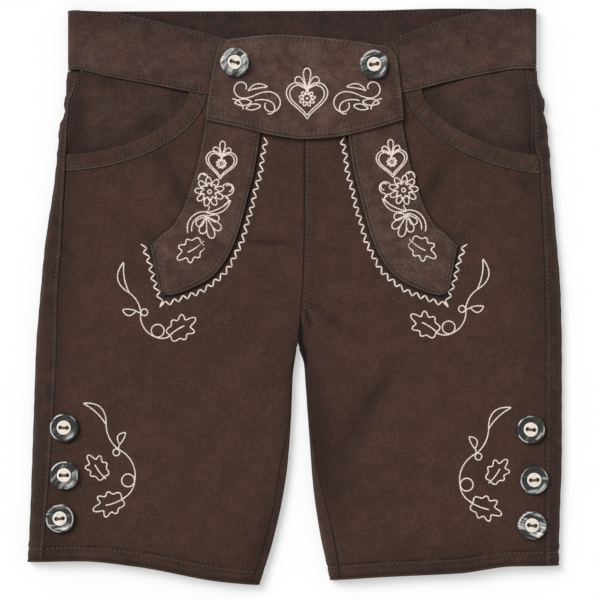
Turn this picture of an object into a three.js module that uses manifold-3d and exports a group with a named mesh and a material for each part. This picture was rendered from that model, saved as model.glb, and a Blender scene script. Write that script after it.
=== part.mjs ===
// Child's knee-length shorts in the lederhosen style, laid flat with the front upwards.
//
// Each leg is a flattened tube of cloth: a back panel that lies on the surface and turns up
// round both folded edges, and a front panel on top that meets it at the side seam and the
// inseam. A drop-front flap buttons over the waistband, and two shaped tabs hang from it.
//
// Millimetres, +Z up. X runs from the wearer's right to the wearer's left, Y from the hems to
// the waist, and the surface that the shorts lie on is Z = 0.

import * as THREE from 'three';
import { mergeVertices } from 'three/addons/utils/BufferGeometryUtils.js';
import Module from 'manifold-3d';

const wasm = await Module();
wasm.setup();

// ---- Driving dimensions ----------------------------------------------------------------

const CLOTH = 1.2;          // wall of one layer of twill
const BAND_CLOTH = 2.2;     // waistband: cloth folded over a stiffening
const FLAP_CLOTH = 2.0;     // drop-front flap: two layers with turned edges
const TAB_CLOTH = 1.6;      // tabs below the flap
const BINDING_CLOTH = 2.0;  // binding along the pocket opening
const SEAM_GAP = 0.3;       // between the edges of two pieces that are sewn together
const INSEAM_GAP = 0.5;     // the same where the edges stand upright on a curved fold
const LAYER_GAP = 0.3;      // between pieces that lie on each other

const LEG_HEIGHT = 7.8;     // mid-height of the front layer over the legs
const WAIST_HEIGHT = 8.2;   // mid-height of the front layer at the waist
const FOLD_HEIGHT = 4.2;    // mid-height of the outermost line of a folded edge
const TOP_ROUND = 14;       // reach of the rounding above a folded edge
const UNDER_ROUND = 3.6;    // reach of the rounding below it

const CROTCH_Y = -31;
const SEAM_BACK_Y = 135.2;  // straight waist seam at the back
const CENTRE_X = 5;         // centre-front seam above the crotch curve
const FLAP_CENTRE_X = 5.5;  // line that the flap, tabs and pockets mirror about

const BAND_ENDS = { right: -136.2, left: 144.9 };
const BAND_ROUND = 6;
const BAND_UNDER_ROUND = 3.6;
const BAND_TURN = 7;        // reach of the front band on the underside

const FACING_DROP = 1.8;    // how far the hip facing lies below the pocket's binding
const FACING_SEAM_DROP = 0.2;
const FACING_REACH = 1.22;  // its size against the pocket opening
const FACING_POWER = 2.6;   // superellipse of its hidden lower edge
const FACING_END = 0.94;    // share of the superellipse's width at which it stops

const FLAP_WIDTH = 112;
const FLAP_DEPTH = 50;
const FLAP_CORNER = 8;      // radius of its two upper corners
const TAB_WIDTH = 32;
const TAB_PITCH = 15;       // between two of its sections near the pointed end
const TAB_CORNER = 7;       // radius of its lower inner corner

const BUTTON_RADIUS = 8.7;
const BUTTON_HEIGHT = 3.0;
const RECESS_RADIUS = 4.6;  // round recess that holds the pale centre
const RECESS_FLOOR = 1.3;
const CENTRE_RADIUS = 4.3;
const CENTRE_HEIGHT = 1.5;
const HOLE_RADIUS = 0.75;
const HOLE_SPACING = 4.2;

// ---- Tables of the cut -----------------------------------------------------------------

// Side of each leg: the outermost line of the fold and the side seam that lies inside it.
const SIDE_RIGHT = [
  { y: -160, fold: -160.2, seam: -151 },
  { y: -117, fold: -158.4, seam: -147.7 },
  { y: -59, fold: -156.4, seam: -143.7 },
  { y: -31, fold: -155.4, seam: -142.6 },
  { y: -1, fold: -153, seam: -142 },
  { y: 31, fold: -150, seam: -139.8 },
  { y: 67, fold: -144.6, seam: -138 },
  { y: 84, fold: -142.8, seam: -137 },
  { y: 95, fold: -142, seam: -136.3 },
  { y: 103, fold: -139.8, seam: -135.8 },
  { y: 116, fold: -138, seam: -134.5 },
  { y: 135, fold: -136, seam: -128.5 },
];
const SIDE_LEFT = [
  { y: -162, fold: 158.1, seam: 150 },
  { y: -131, fold: 159, seam: 150 },
  { y: -91, fold: 160.2, seam: 150.2 },
  { y: -36, fold: 160.2, seam: 150.5 },
  { y: 0, fold: 159.5, seam: 150 },
  { y: 38, fold: 156.6, seam: 148.8 },
  { y: 74, fold: 153.6, seam: 146.8 },
  { y: 82, fold: 153.1, seam: 146 },
  { y: 89, fold: 152.7, seam: 143.4 },
  { y: 103, fold: 150.6, seam: 143.2 },
  { y: 116, fold: 149, seam: 143.2 },
  { y: 136, fold: 145.2, seam: 138.6 },
];

// Inside of each leg below the crotch: the innermost line of the fold and the inseam.
const INSIDE_RIGHT = [
  { y: -172, fold: -21.3, seam: -26.1 },
  { y: -149, fold: -13.8, seam: -18.4 },
  { y: -120, fold: -7.2, seam: -11.5 },
  { y: -102, fold: -4.5, seam: -9 },
  { y: -84, fold: -3, seam: -5 },
  { y: -63, fold: -1.8, seam: -2.2 },
  { y: -48, fold: -1.2, seam: -1.2 },
  { y: -31, fold: 1.2, seam: 1.2 },
];
const INSIDE_LEFT = [
  { y: -170, fold: 21.3, seam: 27.8 },
  { y: -142, fold: 15, seam: 22.8 },
  { y: -113, fold: 10.8, seam: 15.7 },
  { y: -84, fold: 8.6, seam: 10.4 },
  { y: -52, fold: 6.2, seam: 6.4 },
  { y: -41, fold: 5.4, seam: 5.4 },
  { y: -31, fold: 2.2, seam: 2.2 },
];

// Centre-front seam, which curves to the crotch. The centre-back seam lies under it.
const CENTRE_SEAM = [
  { y: -31, x: 1.6 },
  { y: -20, x: 3.3 },
  { y: -5, x: 4.6 },
  { y: 15, x: CENTRE_X },
  { y: 130, x: CENTRE_X },
];

// Front waistband: its lower seam and its top edge, which dips at the centre.
const WAIST = [
  { x: -136, seam: 135.5, top: 171.3 },
  { x: -125, seam: 134.5, top: 170.9 },
  { x: -112, seam: 131.4, top: 170.3 },
  { x: -84, seam: 126.3, top: 164.8 },
  { x: -53, seam: 120.7, top: 157.2 },
  { x: -35, seam: 118.9, top: 152.5 },
  { x: 5, seam: 116.5, top: 149.5 },
  { x: 50, seam: 119.6, top: 150 },
  { x: 65, seam: 121.7, top: 156.4 },
  { x: 91, seam: 128, top: 166 },
  { x: 119, seam: 133.8, top: 171.3 },
  { x: 133, seam: 135.9, top: 172.2 },
  { x: 145, seam: 136.2, top: 172.4 },
];
const BACK_WAIST = [
  { x: -136, top: 171.3 },
  { x: 43, top: 171.9 },
  { x: 93, top: 173.1 },
  { x: 145, top: 172.4 },
];

const HEM_RIGHT = [
  { x: -160, y: -159.3 },
  { x: -129, y: -158.7 },
  { x: -95, y: -162 },
  { x: -45, y: -170.7 },
  { x: -21, y: -173 },
];
const HEM_LEFT = [
  { x: 21, y: -170.2 },
  { x: 47, y: -168.4 },
  { x: 98, y: -165.9 },
  { x: 131, y: -161.7 },
  { x: 158, y: -161.4 },
];

// Quarter superellipses of the pocket, from the side seam up to the waist seam: the seam where
// the front leg ends, and the edge of the opening.
const POCKET_RIGHT = {
  seam: { x: -137, bottom: 75, across: 84, power: 1.8 },
  opening: { x: -137, bottom: 85, across: 73.5, power: 1.8 },
};
const POCKET_LEFT = {
  seam: { x: 147, bottom: 73.5, across: 81, power: 1.65 },
  opening: { x: 147, bottom: 84.6, across: 71, power: 1.65 },
};

const FLAP_SIDES = [
  { y: 95, left: -53.4, right: 65.7 },
  { y: 105.5, left: -53.2, right: 65.1 },
  { y: 124, left: -50.9, right: 63.5 },
  { y: 156, left: -44.6, right: 59.4 },
];
const FLAP_TOP = [
  { x: -45, y: 153 },
  { x: -9.8, y: 156.2 },
  { x: 18.6, y: 154.3 },
  { x: 60, y: 148.6 },
];
const FLAP_BOTTOM = [
  { x: -53.4, y: 105.3 },
  { x: -36, y: 101.7 },
  { x: -10.8, y: 95.8 },
  { x: 5, y: 93.9 },
  { x: 22.8, y: 95 },
  { x: 48.2, y: 100.5 },
  { x: 65.7, y: 105.7 },
];

// Sections across the right tab, from its hidden top edge to its pointed end.
const TAB_SECTIONS = [
  { outerX: -52.4, outerY: 112, innerX: -19.4, innerY: 110 },
  { outerX: -53.6, outerY: 102, innerX: -20.9, innerY: 97 },
  { outerX: -56, outerY: 89.3, innerX: -24, innerY: 76.5 },
  { outerX: -58.6, outerY: 77, innerX: -28.2, innerY: 59.4 },
  { outerX: -62.6, outerY: 64.7, innerX: -32.6, innerY: 42.5 },
  { outerX: -67.8, outerY: 50.7, innerX: -38.6, innerY: 26.5 },
  { outerX: -73.5, outerY: 42, innerX: -49, innerY: 12.2 },
  { outerX: -80.2, outerY: 36.2, innerX: -64, innerY: 3.8 },
  { outerX: -86.4, outerY: 30.3, innerX: -80.4, innerY: -1.2 },
];

// Soft creases of the front layer: centre, direction, reach along and across, and rise.
const CREASES = [
  { x: 49, y: -62, turn: 52, reach: 42, width: 7, rise: -0.9 },
  { x: 38, y: -55, turn: 50, reach: 38, width: 9, rise: 0.6 },
  { x: 129, y: -4, turn: 116, reach: 34, width: 8, rise: -0.7 },
  { x: -18, y: 30, turn: 2, reach: 24, width: 4, rise: -0.4 },
  { x: 26, y: 31, turn: 176, reach: 20, width: 4, rise: -0.3 },
  { x: -24, y: -46, turn: 28, reach: 28, width: 6, rise: 0.6 },
  { x: 27, y: -44, turn: 150, reach: 26, width: 5, rise: 0.7 },
  { x: -130, y: 28, turn: 150, reach: 20, width: 6, rise: -0.7 },
  { x: -112, y: -40, turn: 6, reach: 36, width: 7, rise: -0.5 },
  { x: -70, y: -128, turn: 96, reach: 34, width: 12, rise: 0.5 },
  { x: 84, y: -130, turn: 84, reach: 32, width: 12, rise: 0.5 },
];

// Buttons: centre, and the way each leans.
const BUTTONS = [
  { name: 'flap_button_right', x: -35.8, y: 139.6, lean: 1.2, toward: 200 },
  { name: 'flap_button_left', x: 47.2, y: 138.4, lean: 2.0, toward: 320 },
  { name: 'hem_button_right_1', x: -138, y: -78.5, lean: 1.4, toward: 170 },
  { name: 'hem_button_right_2', x: -137.9, y: -106.9, lean: 1.0, toward: 190 },
  { name: 'hem_button_right_3', x: -140.4, y: -132.8, lean: 1.8, toward: 160 },
  { name: 'hem_button_left_1', x: 140.9, y: -79.6, lean: 1.2, toward: 10 },
  { name: 'hem_button_left_2', x: 142.9, y: -109.7, lean: 1.5, toward: 350 },
  { name: 'hem_button_left_3', x: 141.7, y: -136.9, lean: 1.2, toward: 20 },
];

// ---- Grids: where the sections and stations of the panels fall --------------------------

// Heights of a leg's sections along its inside, closer at the crotch. Front and back share
// them, so that the two edges of a seam run parallel.
const LEVELS = [
  -166, -150, -132, -114, -96, -78, -60, -46, -37, -31, -28.4, -24, -16, -4, 14, 34, 56, 78, 98,
];
const NEAR_HEM = -165;
const HIP_SHARES = [0.14, 0.28, 0.52, 0.76, 1];  // from the pocket up to the back waist seam
const SIDE_STEPS = [0, 3, 8, 16];                // front panel, in from the side seam
const INNER_STEPS = 5;                           // front panel, over the rounding at the inseam
const TOP_STEPS = 5;                             // front panel, across its flat
const WRAP_STEPS = 6;                            // back panel, round each folded edge
const FLAT_STEPS = 6;                            // back panel, across its flat
const POCKET_STEPS = 8;                          // along the pocket curve
const OPENING_OUT = 12;                          // above the crotch, until sections lie flat
const BACK_SPREAD = 20;                          // reach of the stations beside the back seam
const FRONT_SPREAD = 24;                         // and beside the front seam
const CORNER_STEPS = [0, 3, 6, 9];               // in from a rounded corner

// ---- Small mathematics -----------------------------------------------------------------

const mix = THREE.MathUtils.lerp;
const smooth = (t) => THREE.MathUtils.smoothstep(t, 0, 1);

function range(steps) {
  return Array.from({ length: steps + 1 }, (_, i) => i / steps);
}

// Monotone cubic through the rows of a table, held level past its ends.
function curve(rows, input, output) {
  const xs = rows.map((row) => row[input]);
  const ys = rows.map((row) => row[output]);
  const last = xs.length - 1;
  const secant = xs.slice(1).map((x, i) => (ys[i + 1] - ys[i]) / (x - xs[i]));
  const slope = xs.map((_, i) => {
    if (i === 0) return secant[0];
    if (i === last) return secant[last - 1];
    const [before, after] = [secant[i - 1], secant[i]];
    return before * after > 0 ? (2 * before * after) / (before + after) : 0;
  });
  return (x) => {
    if (x <= xs[0]) return ys[0];
    if (x >= xs[last]) return ys[last];
    const i = xs.findIndex((_, k) => x < xs[k + 1]);
    const span = xs[i + 1] - xs[i];
    const t = (x - xs[i]) / span;
    const a = (1 + 2 * t) * (1 - t) ** 2;
    const b = t * (1 - t) ** 2;
    const c = t * t * (3 - 2 * t);
    const d = t * t * (t - 1);
    return a * ys[i] + b * span * slope[i] + c * ys[i + 1] + d * span * slope[i + 1];
  };
}

// Share of its full height that a quarter-elliptical edge has at a distance in from the edge.
function quarter(distance, reach) {
  const u = 1 - THREE.MathUtils.clamp(distance / reach, 0, 1);
  return Math.sqrt(1 - u * u);
}

// Evenly spaced points along a path in X and Z that stops a little before its end.
function spread(path, steps, trim) {
  const along = [0];
  for (let i = 1; i < path.length; i += 1) {
    along.push(along[i - 1] + Math.hypot(path[i].x - path[i - 1].x, path[i].z - path[i - 1].z));
  }
  const total = along[along.length - 1] - trim;
  return range(steps).map((share) => {
    const place = share * total;
    const i = Math.max(1, along.findIndex((length) => length >= place));
    const t = (place - along[i - 1]) / Math.max(along[i] - along[i - 1], 1e-9);
    return { x: mix(path[i - 1].x, path[i].x, t), z: mix(path[i - 1].z, path[i].z, t) };
  });
}

// Pulls the lines of a grid in from a square corner, so that its border is a round one.
// a and b are the distances from the two edges that meet there.
function roundCorner(a, b, radius) {
  if (a >= radius || b >= radius) return { a, b };
  const u = 1 - a / radius;
  const v = 1 - b / radius;
  return {
    a: radius * (1 - u * Math.sqrt(1 - (v * v) / 2)),
    b: radius * (1 - v * Math.sqrt(1 - (u * u) / 2)),
  };
}

// ---- The two legs ----------------------------------------------------------------------

const centreSeam = curve(CENTRE_SEAM, 'y', 'x');
const waistSeam = curve(WAIST, 'x', 'seam');
const bandTop = curve(WAIST, 'x', 'top');
const backBandTop = curve(BACK_WAIST, 'x', 'top');

// inward is the direction along X from the side of a leg to its inside.
function makeLeg(name, inward, side, inside, hem, pocket) {
  const outerLine = curve(side, 'y', 'fold');
  const innerLine = curve(inside, 'y', 'fold');
  return {
    name,
    inward,
    pocket,
    outerFold: (y) => outerLine(y) + (inward * CLOTH) / 2,
    innerFold: (y) => innerLine(y) - (inward * CLOTH) / 2,
    sideSeam: curve(side, 'y', 'seam'),
    inseam: curve(inside, 'y', 'seam'),
    hem: curve(hem, 'x', 'y'),
  };
}

const LEGS = {
  right: makeLeg('right', 1, SIDE_RIGHT, INSIDE_RIGHT, HEM_RIGHT, POCKET_RIGHT),
  left: makeLeg('left', -1, SIDE_LEFT, INSIDE_LEFT, HEM_LEFT, POCKET_LEFT),
};

const legAt = (x, y) => (x < centreSeam(y) ? LEGS.right : LEGS.left);

// Distance in from the nearest folded edge, where the crotch is a point.
function edgeDistance(leg, x, y) {
  const fromSide = leg.inward * (x - leg.outerFold(y));
  const fromInside = y < CROTCH_Y
    ? leg.inward * (leg.innerFold(y) - x)
    : Math.hypot(x - leg.innerFold(CROTCH_Y), y - CROTCH_Y);
  return Math.min(fromSide, fromInside);
}

function creaseHeight(x, y) {
  return CREASES.reduce((sum, crease) => {
    const turn = THREE.MathUtils.degToRad(crease.turn);
    const dx = x - crease.x;
    const dy = y - crease.y;
    const along = (dx * Math.cos(turn) + dy * Math.sin(turn)) / crease.reach;
    const across = (dy * Math.cos(turn) - dx * Math.sin(turn)) / crease.width;
    const fade = Math.max(0, 1 - along * along);
    return sum + crease.rise * fade * fade * Math.exp(-across * across);
  }, 0);
}

const plateau = (y) => mix(LEG_HEIGHT, WAIST_HEIGHT, smooth((y - 50) / 60));

// Mid-surface of the front layer.
function frontHeight(leg, x, y) {
  const rise = plateau(y) - FOLD_HEIGHT + creaseHeight(x, y);
  return FOLD_HEIGHT + quarter(edgeDistance(leg, x, y), TOP_ROUND) * rise;
}

// Mid-surface of the back layer, flat on the surface but for its folded edges.
function backHeight(leg, x, y) {
  return FOLD_HEIGHT - quarter(edgeDistance(leg, x, y), UNDER_ROUND) * (FOLD_HEIGHT - CLOTH / 2);
}

// Edge of a panel at the centre seam. At the crotch the cloth stands upright, so the edge
// starts a wall's half thickness further out there.
function centreEdge(leg, y) {
  const upright = 1 - smooth((y - CROTCH_Y) / 3);
  return mix(centreSeam(y) - (leg.inward * SEAM_GAP) / 2, leg.innerFold(CROTCH_Y), upright);
}

// ---- From a grid of mid-surface points to a closed wall ---------------------------------

// Direction of a line of points at one of them, from the parabola through its neighbours.
function tangent(points, i) {
  const middle = THREE.MathUtils.clamp(i, 1, points.length - 2);
  const before = new THREE.Vector3().subVectors(points[middle], points[middle - 1]);
  const after = new THREE.Vector3().subVectors(points[middle + 1], points[middle]);
  const [h, k] = [before.length(), after.length()];
  const place = i < middle ? -h : (i > middle ? k : 0);
  const share = (place + h / 2) / ((h + k) / 2);
  return before.divideScalar(h).lerp(after.divideScalar(k), share);
}

function gridNormal(grid, row, column) {
  const along = tangent(grid[row], column);
  const up = tangent(grid.map((line) => line[column]), row);
  return along.cross(up).normalize();
}

// Triangles of a grid's two faces and its rim, wound outwards. The upper face's points come
// first, then the lower face's.
function wallIndex(rows, columns) {
  const half = rows * columns;
  const index = [];
  const quad = (a, b, c, d) => index.push(a, b, c, a, c, d);
  for (let r = 0; r < rows - 1; r += 1) {
    for (let c = 0; c < columns - 1; c += 1) {
      const a = r * columns + c;
      quad(a, a + 1, a + columns + 1, a + columns);
      quad(half + a, half + a + columns, half + a + columns + 1, half + a + 1);
    }
  }
  const rim = [];
  for (let c = 0; c < columns - 1; c += 1) rim.push(c);
  for (let r = 0; r < rows - 1; r += 1) rim.push(r * columns + columns - 1);
  for (let c = columns - 1; c > 0; c -= 1) rim.push((rows - 1) * columns + c);
  for (let r = rows - 1; r > 0; r -= 1) rim.push(r * columns);
  rim.forEach((a, i) => {
    const b = rim[(i + 1) % rim.length];
    quad(a, half + a, half + b, b);
  });
  return index;
}

// Rows of the grid run towards +X and follow each other towards the waist.
function wall(grid, thickness) {
  const rows = grid.length;
  const columns = grid[0].length;
  const faces = [thickness / 2, -thickness / 2];
  const points = faces.flatMap((offset) => grid.flatMap((line, r) => line.map((point, c) => (
    point.clone().addScaledVector(gridNormal(grid, r, c), offset)
  ))));
  const geometry = new THREE.BufferGeometry().setFromPoints(points);
  geometry.setIndex(wallIndex(rows, columns));
  geometry.computeVertexNormals();
  return geometry;
}

const towardLeft = (leg, line) => (leg.inward > 0 ? line : [...line].reverse());

// ---- Panels ----------------------------------------------------------------------------

// Points along a pocket line, from the side seam to the waist seam.
function pocketEdge(leg, line) {
  return range(POCKET_STEPS).map((share) => {
    const angle = (share * Math.PI) / 2;
    const across = line.x + leg.inward * line.across * Math.sin(angle) ** (2 / line.power);
    const y = line.y - line.down * Math.cos(angle) ** (2 / line.power);
    const pastSeam = leg.inward * (frontSideEdge(leg, y) - across) + SEAM_GAP;
    return { x: across + leg.inward * Math.max(0, pastSeam), y };
  });
}

// A line between the opening (0) and the front leg's seam (1), grown by a margin.
function pocketLine(leg, share, margin = 0) {
  const { opening, seam } = leg.pocket;
  const across = mix(opening.across, seam.across, share);
  const y = waistSeam(seam.x + leg.inward * across) - SEAM_GAP / 2;
  return {
    x: seam.x,
    y,
    across: across + margin,
    down: y - mix(opening.bottom, seam.bottom, share) + margin,
    power: seam.power,
  };
}

// Back panel's turn round a folded edge, from the flat, over the fold and up to a seam.
function turnedEdge(leg, y, foldX, seamX, inward, gap) {
  const arc = range(8);
  const under = arc.map((share) => {
    const angle = ((1 - share) * Math.PI) / 2;
    return {
      x: foldX + inward * UNDER_ROUND * (1 - Math.cos(angle)),
      z: FOLD_HEIGHT - (FOLD_HEIGHT - CLOTH / 2) * Math.sin(angle),
    };
  });
  const reach = Math.max(0, inward * (seamX - foldX));
  const seamAngle = Math.acos(1 - reach / TOP_ROUND);
  const over = arc.slice(1).map((share) => {
    const x = foldX + inward * TOP_ROUND * (1 - Math.cos(seamAngle * share));
    return { x, z: frontHeight(leg, x, y) };
  });
  return spread([...under, ...over], WRAP_STEPS, gap / 2);
}

// Back panel's stations next to the centre-back seam. They open out from the crotch, where
// they stand round the fold, to an even spacing on the flat.
function centreBackEdge(leg, y) {
  const open = smooth((y - CROTCH_Y) / OPENING_OUT);
  const upright = INSEAM_GAP / 2 / (FOLD_HEIGHT - CLOTH / 2);
  return range(WRAP_STEPS).map((share) => {
    const angle = mix(Math.PI / 2, upright, share);
    const tight = UNDER_ROUND * (1 - Math.cos(angle));
    const even = BACK_SPREAD * (1 - share);
    const x = centreEdge(leg, y) - leg.inward * mix(tight, even, open);
    return { x, z: backHeight(leg, x, y) };
  });
}

function backSection(leg, y) {
  const side = turnedEdge(leg, y, leg.outerFold(y), leg.sideSeam(y), leg.inward, SEAM_GAP);
  const inside = y < CROTCH_Y
    ? turnedEdge(leg, y, leg.innerFold(y), leg.inseam(y), -leg.inward, INSEAM_GAP)
    : centreBackEdge(leg, y);
  const flat = range(FLAT_STEPS).slice(1, -1).map((share) => ({
    x: mix(side[0].x, inside[0].x, share),
    z: CLOTH / 2,
  }));
  return [...side.reverse(), ...flat, ...inside];
}

// The levels as shares of the way from the hem to the top of the front leg, and the crotch's.
function levelShares(leg) {
  const hemY = leg.hem(leg.inseam(NEAR_HEM));
  const share = (y) => (y - hemY) / (insideTop(leg) - hemY);
  return { shares: [0, ...LEVELS.map(share), 1], crotch: share(CROTCH_Y) };
}

// Back panel. Its lower sections end level with the front leg's: at the pocket along the side
// and at the waist seam along the centre. The last ones climb from there to the back seam.
function backLeg(leg) {
  const hemLine = backSection(leg, NEAR_HEM);
  const column = hemLine.map((_, c) => {
    const flat = THREE.MathUtils.clamp((c - WRAP_STEPS) / FLAT_STEPS, 0, 1);
    const x = hemLine[c].x;
    const frontTop = mix(frontTopEdge(leg)[0].y, insideTop(leg), flat);
    const seamX = leg.sideSeam(SEAM_BACK_Y);
    const seamY = flat > 0 ? SEAM_BACK_Y : Math.min(SEAM_BACK_Y, waistSeam(seamX));
    return { hem: leg.hem(x), frontTop, top: seamY - SEAM_GAP / 2 };
  });
  const lower = levelShares(leg).shares.map((share) => (
    column.map(({ hem, frontTop }) => mix(hem, frontTop, share))
  ));
  const upper = HIP_SHARES.map((share) => (
    column.map(({ frontTop, top }) => mix(frontTop, top, share))
  ));
  const grid = [...lower, ...upper].map((heights) => towardLeft(leg, heights.map((y, c) => {
    const { x, z } = backSection(leg, y)[c];
    return new THREE.Vector3(x, y, z);
  })));
  return wall(grid, CLOTH);
}

function frontSideEdge(leg, y) {
  return leg.sideSeam(y) + (leg.inward * SEAM_GAP) / 2;
}

// Front panel's stations over the rounding at its inner edge, from the flat to just above the
// inseam. Over the crotch they open out to an even spacing beside the centre seam.
function frontInnerStations(leg, y) {
  const over = y >= CROTCH_Y;
  const edgeX = over ? centreEdge(leg, y) : leg.innerFold(y);
  const reach = over ? 0 : Math.max(0, leg.inward * (edgeX - leg.inseam(y)));
  const seamAngle = Math.acos(1 - reach / TOP_ROUND);
  const rise = LEG_HEIGHT - FOLD_HEIGHT;
  const metric = Math.hypot(TOP_ROUND * Math.sin(seamAngle), rise * Math.cos(seamAngle));
  const edgeAngle = seamAngle + INSEAM_GAP / 2 / metric;
  const open = smooth((y - CROTCH_Y) / OPENING_OUT);
  return range(INNER_STEPS).map((share) => {
    const angle = mix(Math.PI / 2, edgeAngle, share);
    const round = TOP_ROUND * (1 - Math.cos(angle));
    const even = FRONT_SPREAD * (1 - share);
    return edgeX - leg.inward * mix(round, even, open);
  });
}

// All of a front section's stations, from the side seam to the inside.
function frontSection(leg, y) {
  const side = SIDE_STEPS.map((step) => frontSideEdge(leg, y) + leg.inward * step);
  const inner = frontInnerStations(leg, y);
  const between = range(TOP_STEPS).slice(1, -1)
    .map((share) => mix(side[side.length - 1], inner[0], share));
  return [...side, ...between, ...inner];
}

// Top edge of the front leg: along the pocket's binding, then along the waist seam.
function frontTopEdge(leg) {
  const pocket = pocketEdge(leg, pocketLine(leg, 1, SEAM_GAP));
  const start = pocket[POCKET_STEPS].x;
  const end = centreEdge(leg, SEAM_BACK_Y);
  const waist = range(frontSection(leg, 0).length - pocket.length).slice(1).map((share) => {
    const x = mix(start, end, share);
    return { x, y: waistSeam(x) - SEAM_GAP / 2 };
  });
  return [...pocket, ...waist];
}

const insideTop = (leg) => waistSeam(centreEdge(leg, SEAM_BACK_Y)) - SEAM_GAP / 2;

// Front panel. Over the crotch its stations turn from the hem's spacing to the top edge's.
function frontLeg(leg) {
  const topEdge = frontTopEdge(leg);
  const hemLine = frontSection(leg, NEAR_HEM);
  const { shares, crotch } = levelShares(leg);
  const width = (y) => centreEdge(leg, y) - frontSideEdge(leg, y);
  const topShare = topEdge.map(({ x, y }) => (x - frontSideEdge(leg, y)) / width(y));
  const grid = shares.map((share) => {
    const toTop = smooth((share - crotch) / (1 - crotch));
    const line = topEdge.map((end, column) => {
      const y = mix(leg.hem(hemLine[column]), end.y, share);
      const topX = frontSideEdge(leg, y) + topShare[column] * width(y);
      const x = mix(frontSection(leg, y)[column], topX, toTop);
      return new THREE.Vector3(x, y, frontHeight(leg, x, y));
    });
    return towardLeft(leg, line);
  });
  return wall(grid, CLOTH);
}

// Binding sewn along the pocket opening.
function pocketBinding(leg) {
  const lift = (BINDING_CLOTH - CLOTH) / 2 - 0.1;
  const grid = range(2).map((share) => {
    const row = pocketEdge(leg, pocketLine(leg, 1 - share));
    return towardLeft(leg, row.map(({ x, y }) => (
      new THREE.Vector3(x, y, frontHeight(leg, x, y) + lift)
    )));
  });
  return wall(grid, BINDING_CLOTH);
}

// Hip facing that shows inside the pocket opening. It meets the side seam and the waist seam
// at their own height and drops below the binding.
function pocketFacing(leg) {
  const line = pocketLine(leg, 0);
  const grid = range(8).map((up) => {
    const row = range(9).map((part) => {
      const share = part * FACING_END;
      const farX = line.x + leg.inward * FACING_REACH * line.across * share;
      const round = (1 - share ** FACING_POWER) ** (1 / FACING_POWER);
      const bottom = line.y - FACING_REACH * line.down * round;
      const across = (y) => mix(frontSideEdge(leg, y) + leg.inward * SEAM_GAP, farX, part);
      const y = mix(bottom, waistSeam(across(SEAM_BACK_Y)) - SEAM_GAP / 2, up);
      const x = across(y);
      const outward = Math.max(0, leg.inward * (x - line.x)) / line.across;
      const down = Math.max(0, line.y - y) / line.down;
      const level = Math.hypot(outward, down);
      const drop = mix(FACING_SEAM_DROP, FACING_DROP, smooth((level - 0.55) / 0.4));
      return new THREE.Vector3(x, y, frontHeight(leg, x, y) - drop);
    });
    return towardLeft(leg, row);
  });
  return wall(grid, CLOTH);
}

// Half of the front waistband, turned round the side fold to meet the back band underneath.
function frontBand(leg) {
  const foldX = BAND_ENDS[leg.name] + (leg.inward * BAND_CLOTH) / 2;
  const foldZ = FOLD_HEIGHT + (BAND_CLOTH - CLOTH) / 2;
  const centre = CENTRE_X - (leg.inward * SEAM_GAP) / 2;
  const height = (x, y) => {
    const top = plateau(y) + (BAND_CLOTH - CLOTH) / 2;
    return mix(foldZ, top, quarter(leg.inward * (x - foldX), BAND_ROUND));
  };
  const over = range(12).slice(0, -1)
    .map((share) => ({ x: mix(centre, foldX + leg.inward * BAND_ROUND, share) }));
  const turn = range(3).slice(0, -1).map((share) => ({
    x: foldX + leg.inward * BAND_ROUND * (1 - Math.cos(((1 - share) * Math.PI) / 2)),
  }));
  const under = range(3).map((share) => {
    const angle = (share * Math.PI) / 2;
    return {
      x: foldX + leg.inward * BAND_UNDER_ROUND * (1 - Math.cos(angle)),
      z: foldZ - (foldZ - BAND_CLOTH / 2) * Math.sin(angle),
    };
  });
  const end = { x: foldX + leg.inward * BAND_TURN, z: BAND_CLOTH / 2 };
  const path = [...over, ...turn, ...under, end];
  const grid = range(3).map((up) => {
    const line = path.map(({ x, z }) => {
      const edgeX = z === undefined ? x : foldX;
      const y = mix(waistSeam(edgeX) + SEAM_GAP / 2, bandTop(edgeX), up);
      return new THREE.Vector3(x, y, z ?? height(x, y));
    });
    return towardLeft(leg, line.reverse());
  });
  return wall(grid, BAND_CLOTH);
}

function backBand() {
  const edge = (leg) => BAND_ENDS[leg.name]
    + leg.inward * (BAND_CLOTH / 2 + BAND_TURN + SEAM_GAP);
  const grid = range(2).map((up) => range(8).map((share) => {
    const x = mix(edge(LEGS.right), edge(LEGS.left), share);
    const y = mix(SEAM_BACK_Y + SEAM_GAP / 2, backBandTop(x), up);
    return new THREE.Vector3(x, y, BAND_CLOTH / 2);
  }));
  return wall(grid, BAND_CLOTH);
}

// Drop-front flap. It lies on the waistband, and below that on the tops of the tabs.
const flapLeft = curve(FLAP_SIDES, 'y', 'left');
const flapRight = curve(FLAP_SIDES, 'y', 'right');
const flapTop = curve(FLAP_TOP, 'x', 'y');
const flapBottom = curve(FLAP_BOTTOM, 'x', 'y');
const ON_BAND = BAND_CLOTH - CLOTH / 2 + LAYER_GAP + FLAP_CLOTH / 2;
const ON_TABS = CLOTH / 2 + LAYER_GAP + TAB_CLOTH + LAYER_GAP + FLAP_CLOTH / 2;

function flapHeight(x, y) {
  const lift = mix(ON_TABS, ON_BAND, smooth((y - waistSeam(x) + 4) / 8));
  return frontHeight(legAt(x, y), x, y) + lift;
}

// Point of the flap at a share of its width from the left as drawn and of its depth from the
// bottom, each edge being a curve that the other two bound.
function flapPoint(across, up) {
  let y = mix(flapBottom(FLAP_CENTRE_X), flapTop(FLAP_CENTRE_X), up);
  let x = mix(flapLeft(y), flapRight(y), across);
  for (let pass = 0; pass < 4; pass += 1) {
    y = mix(flapBottom(x), flapTop(x), up);
    x = mix(flapLeft(y), flapRight(y), across);
  }
  return new THREE.Vector3(x, y, flapHeight(x, y));
}

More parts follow.
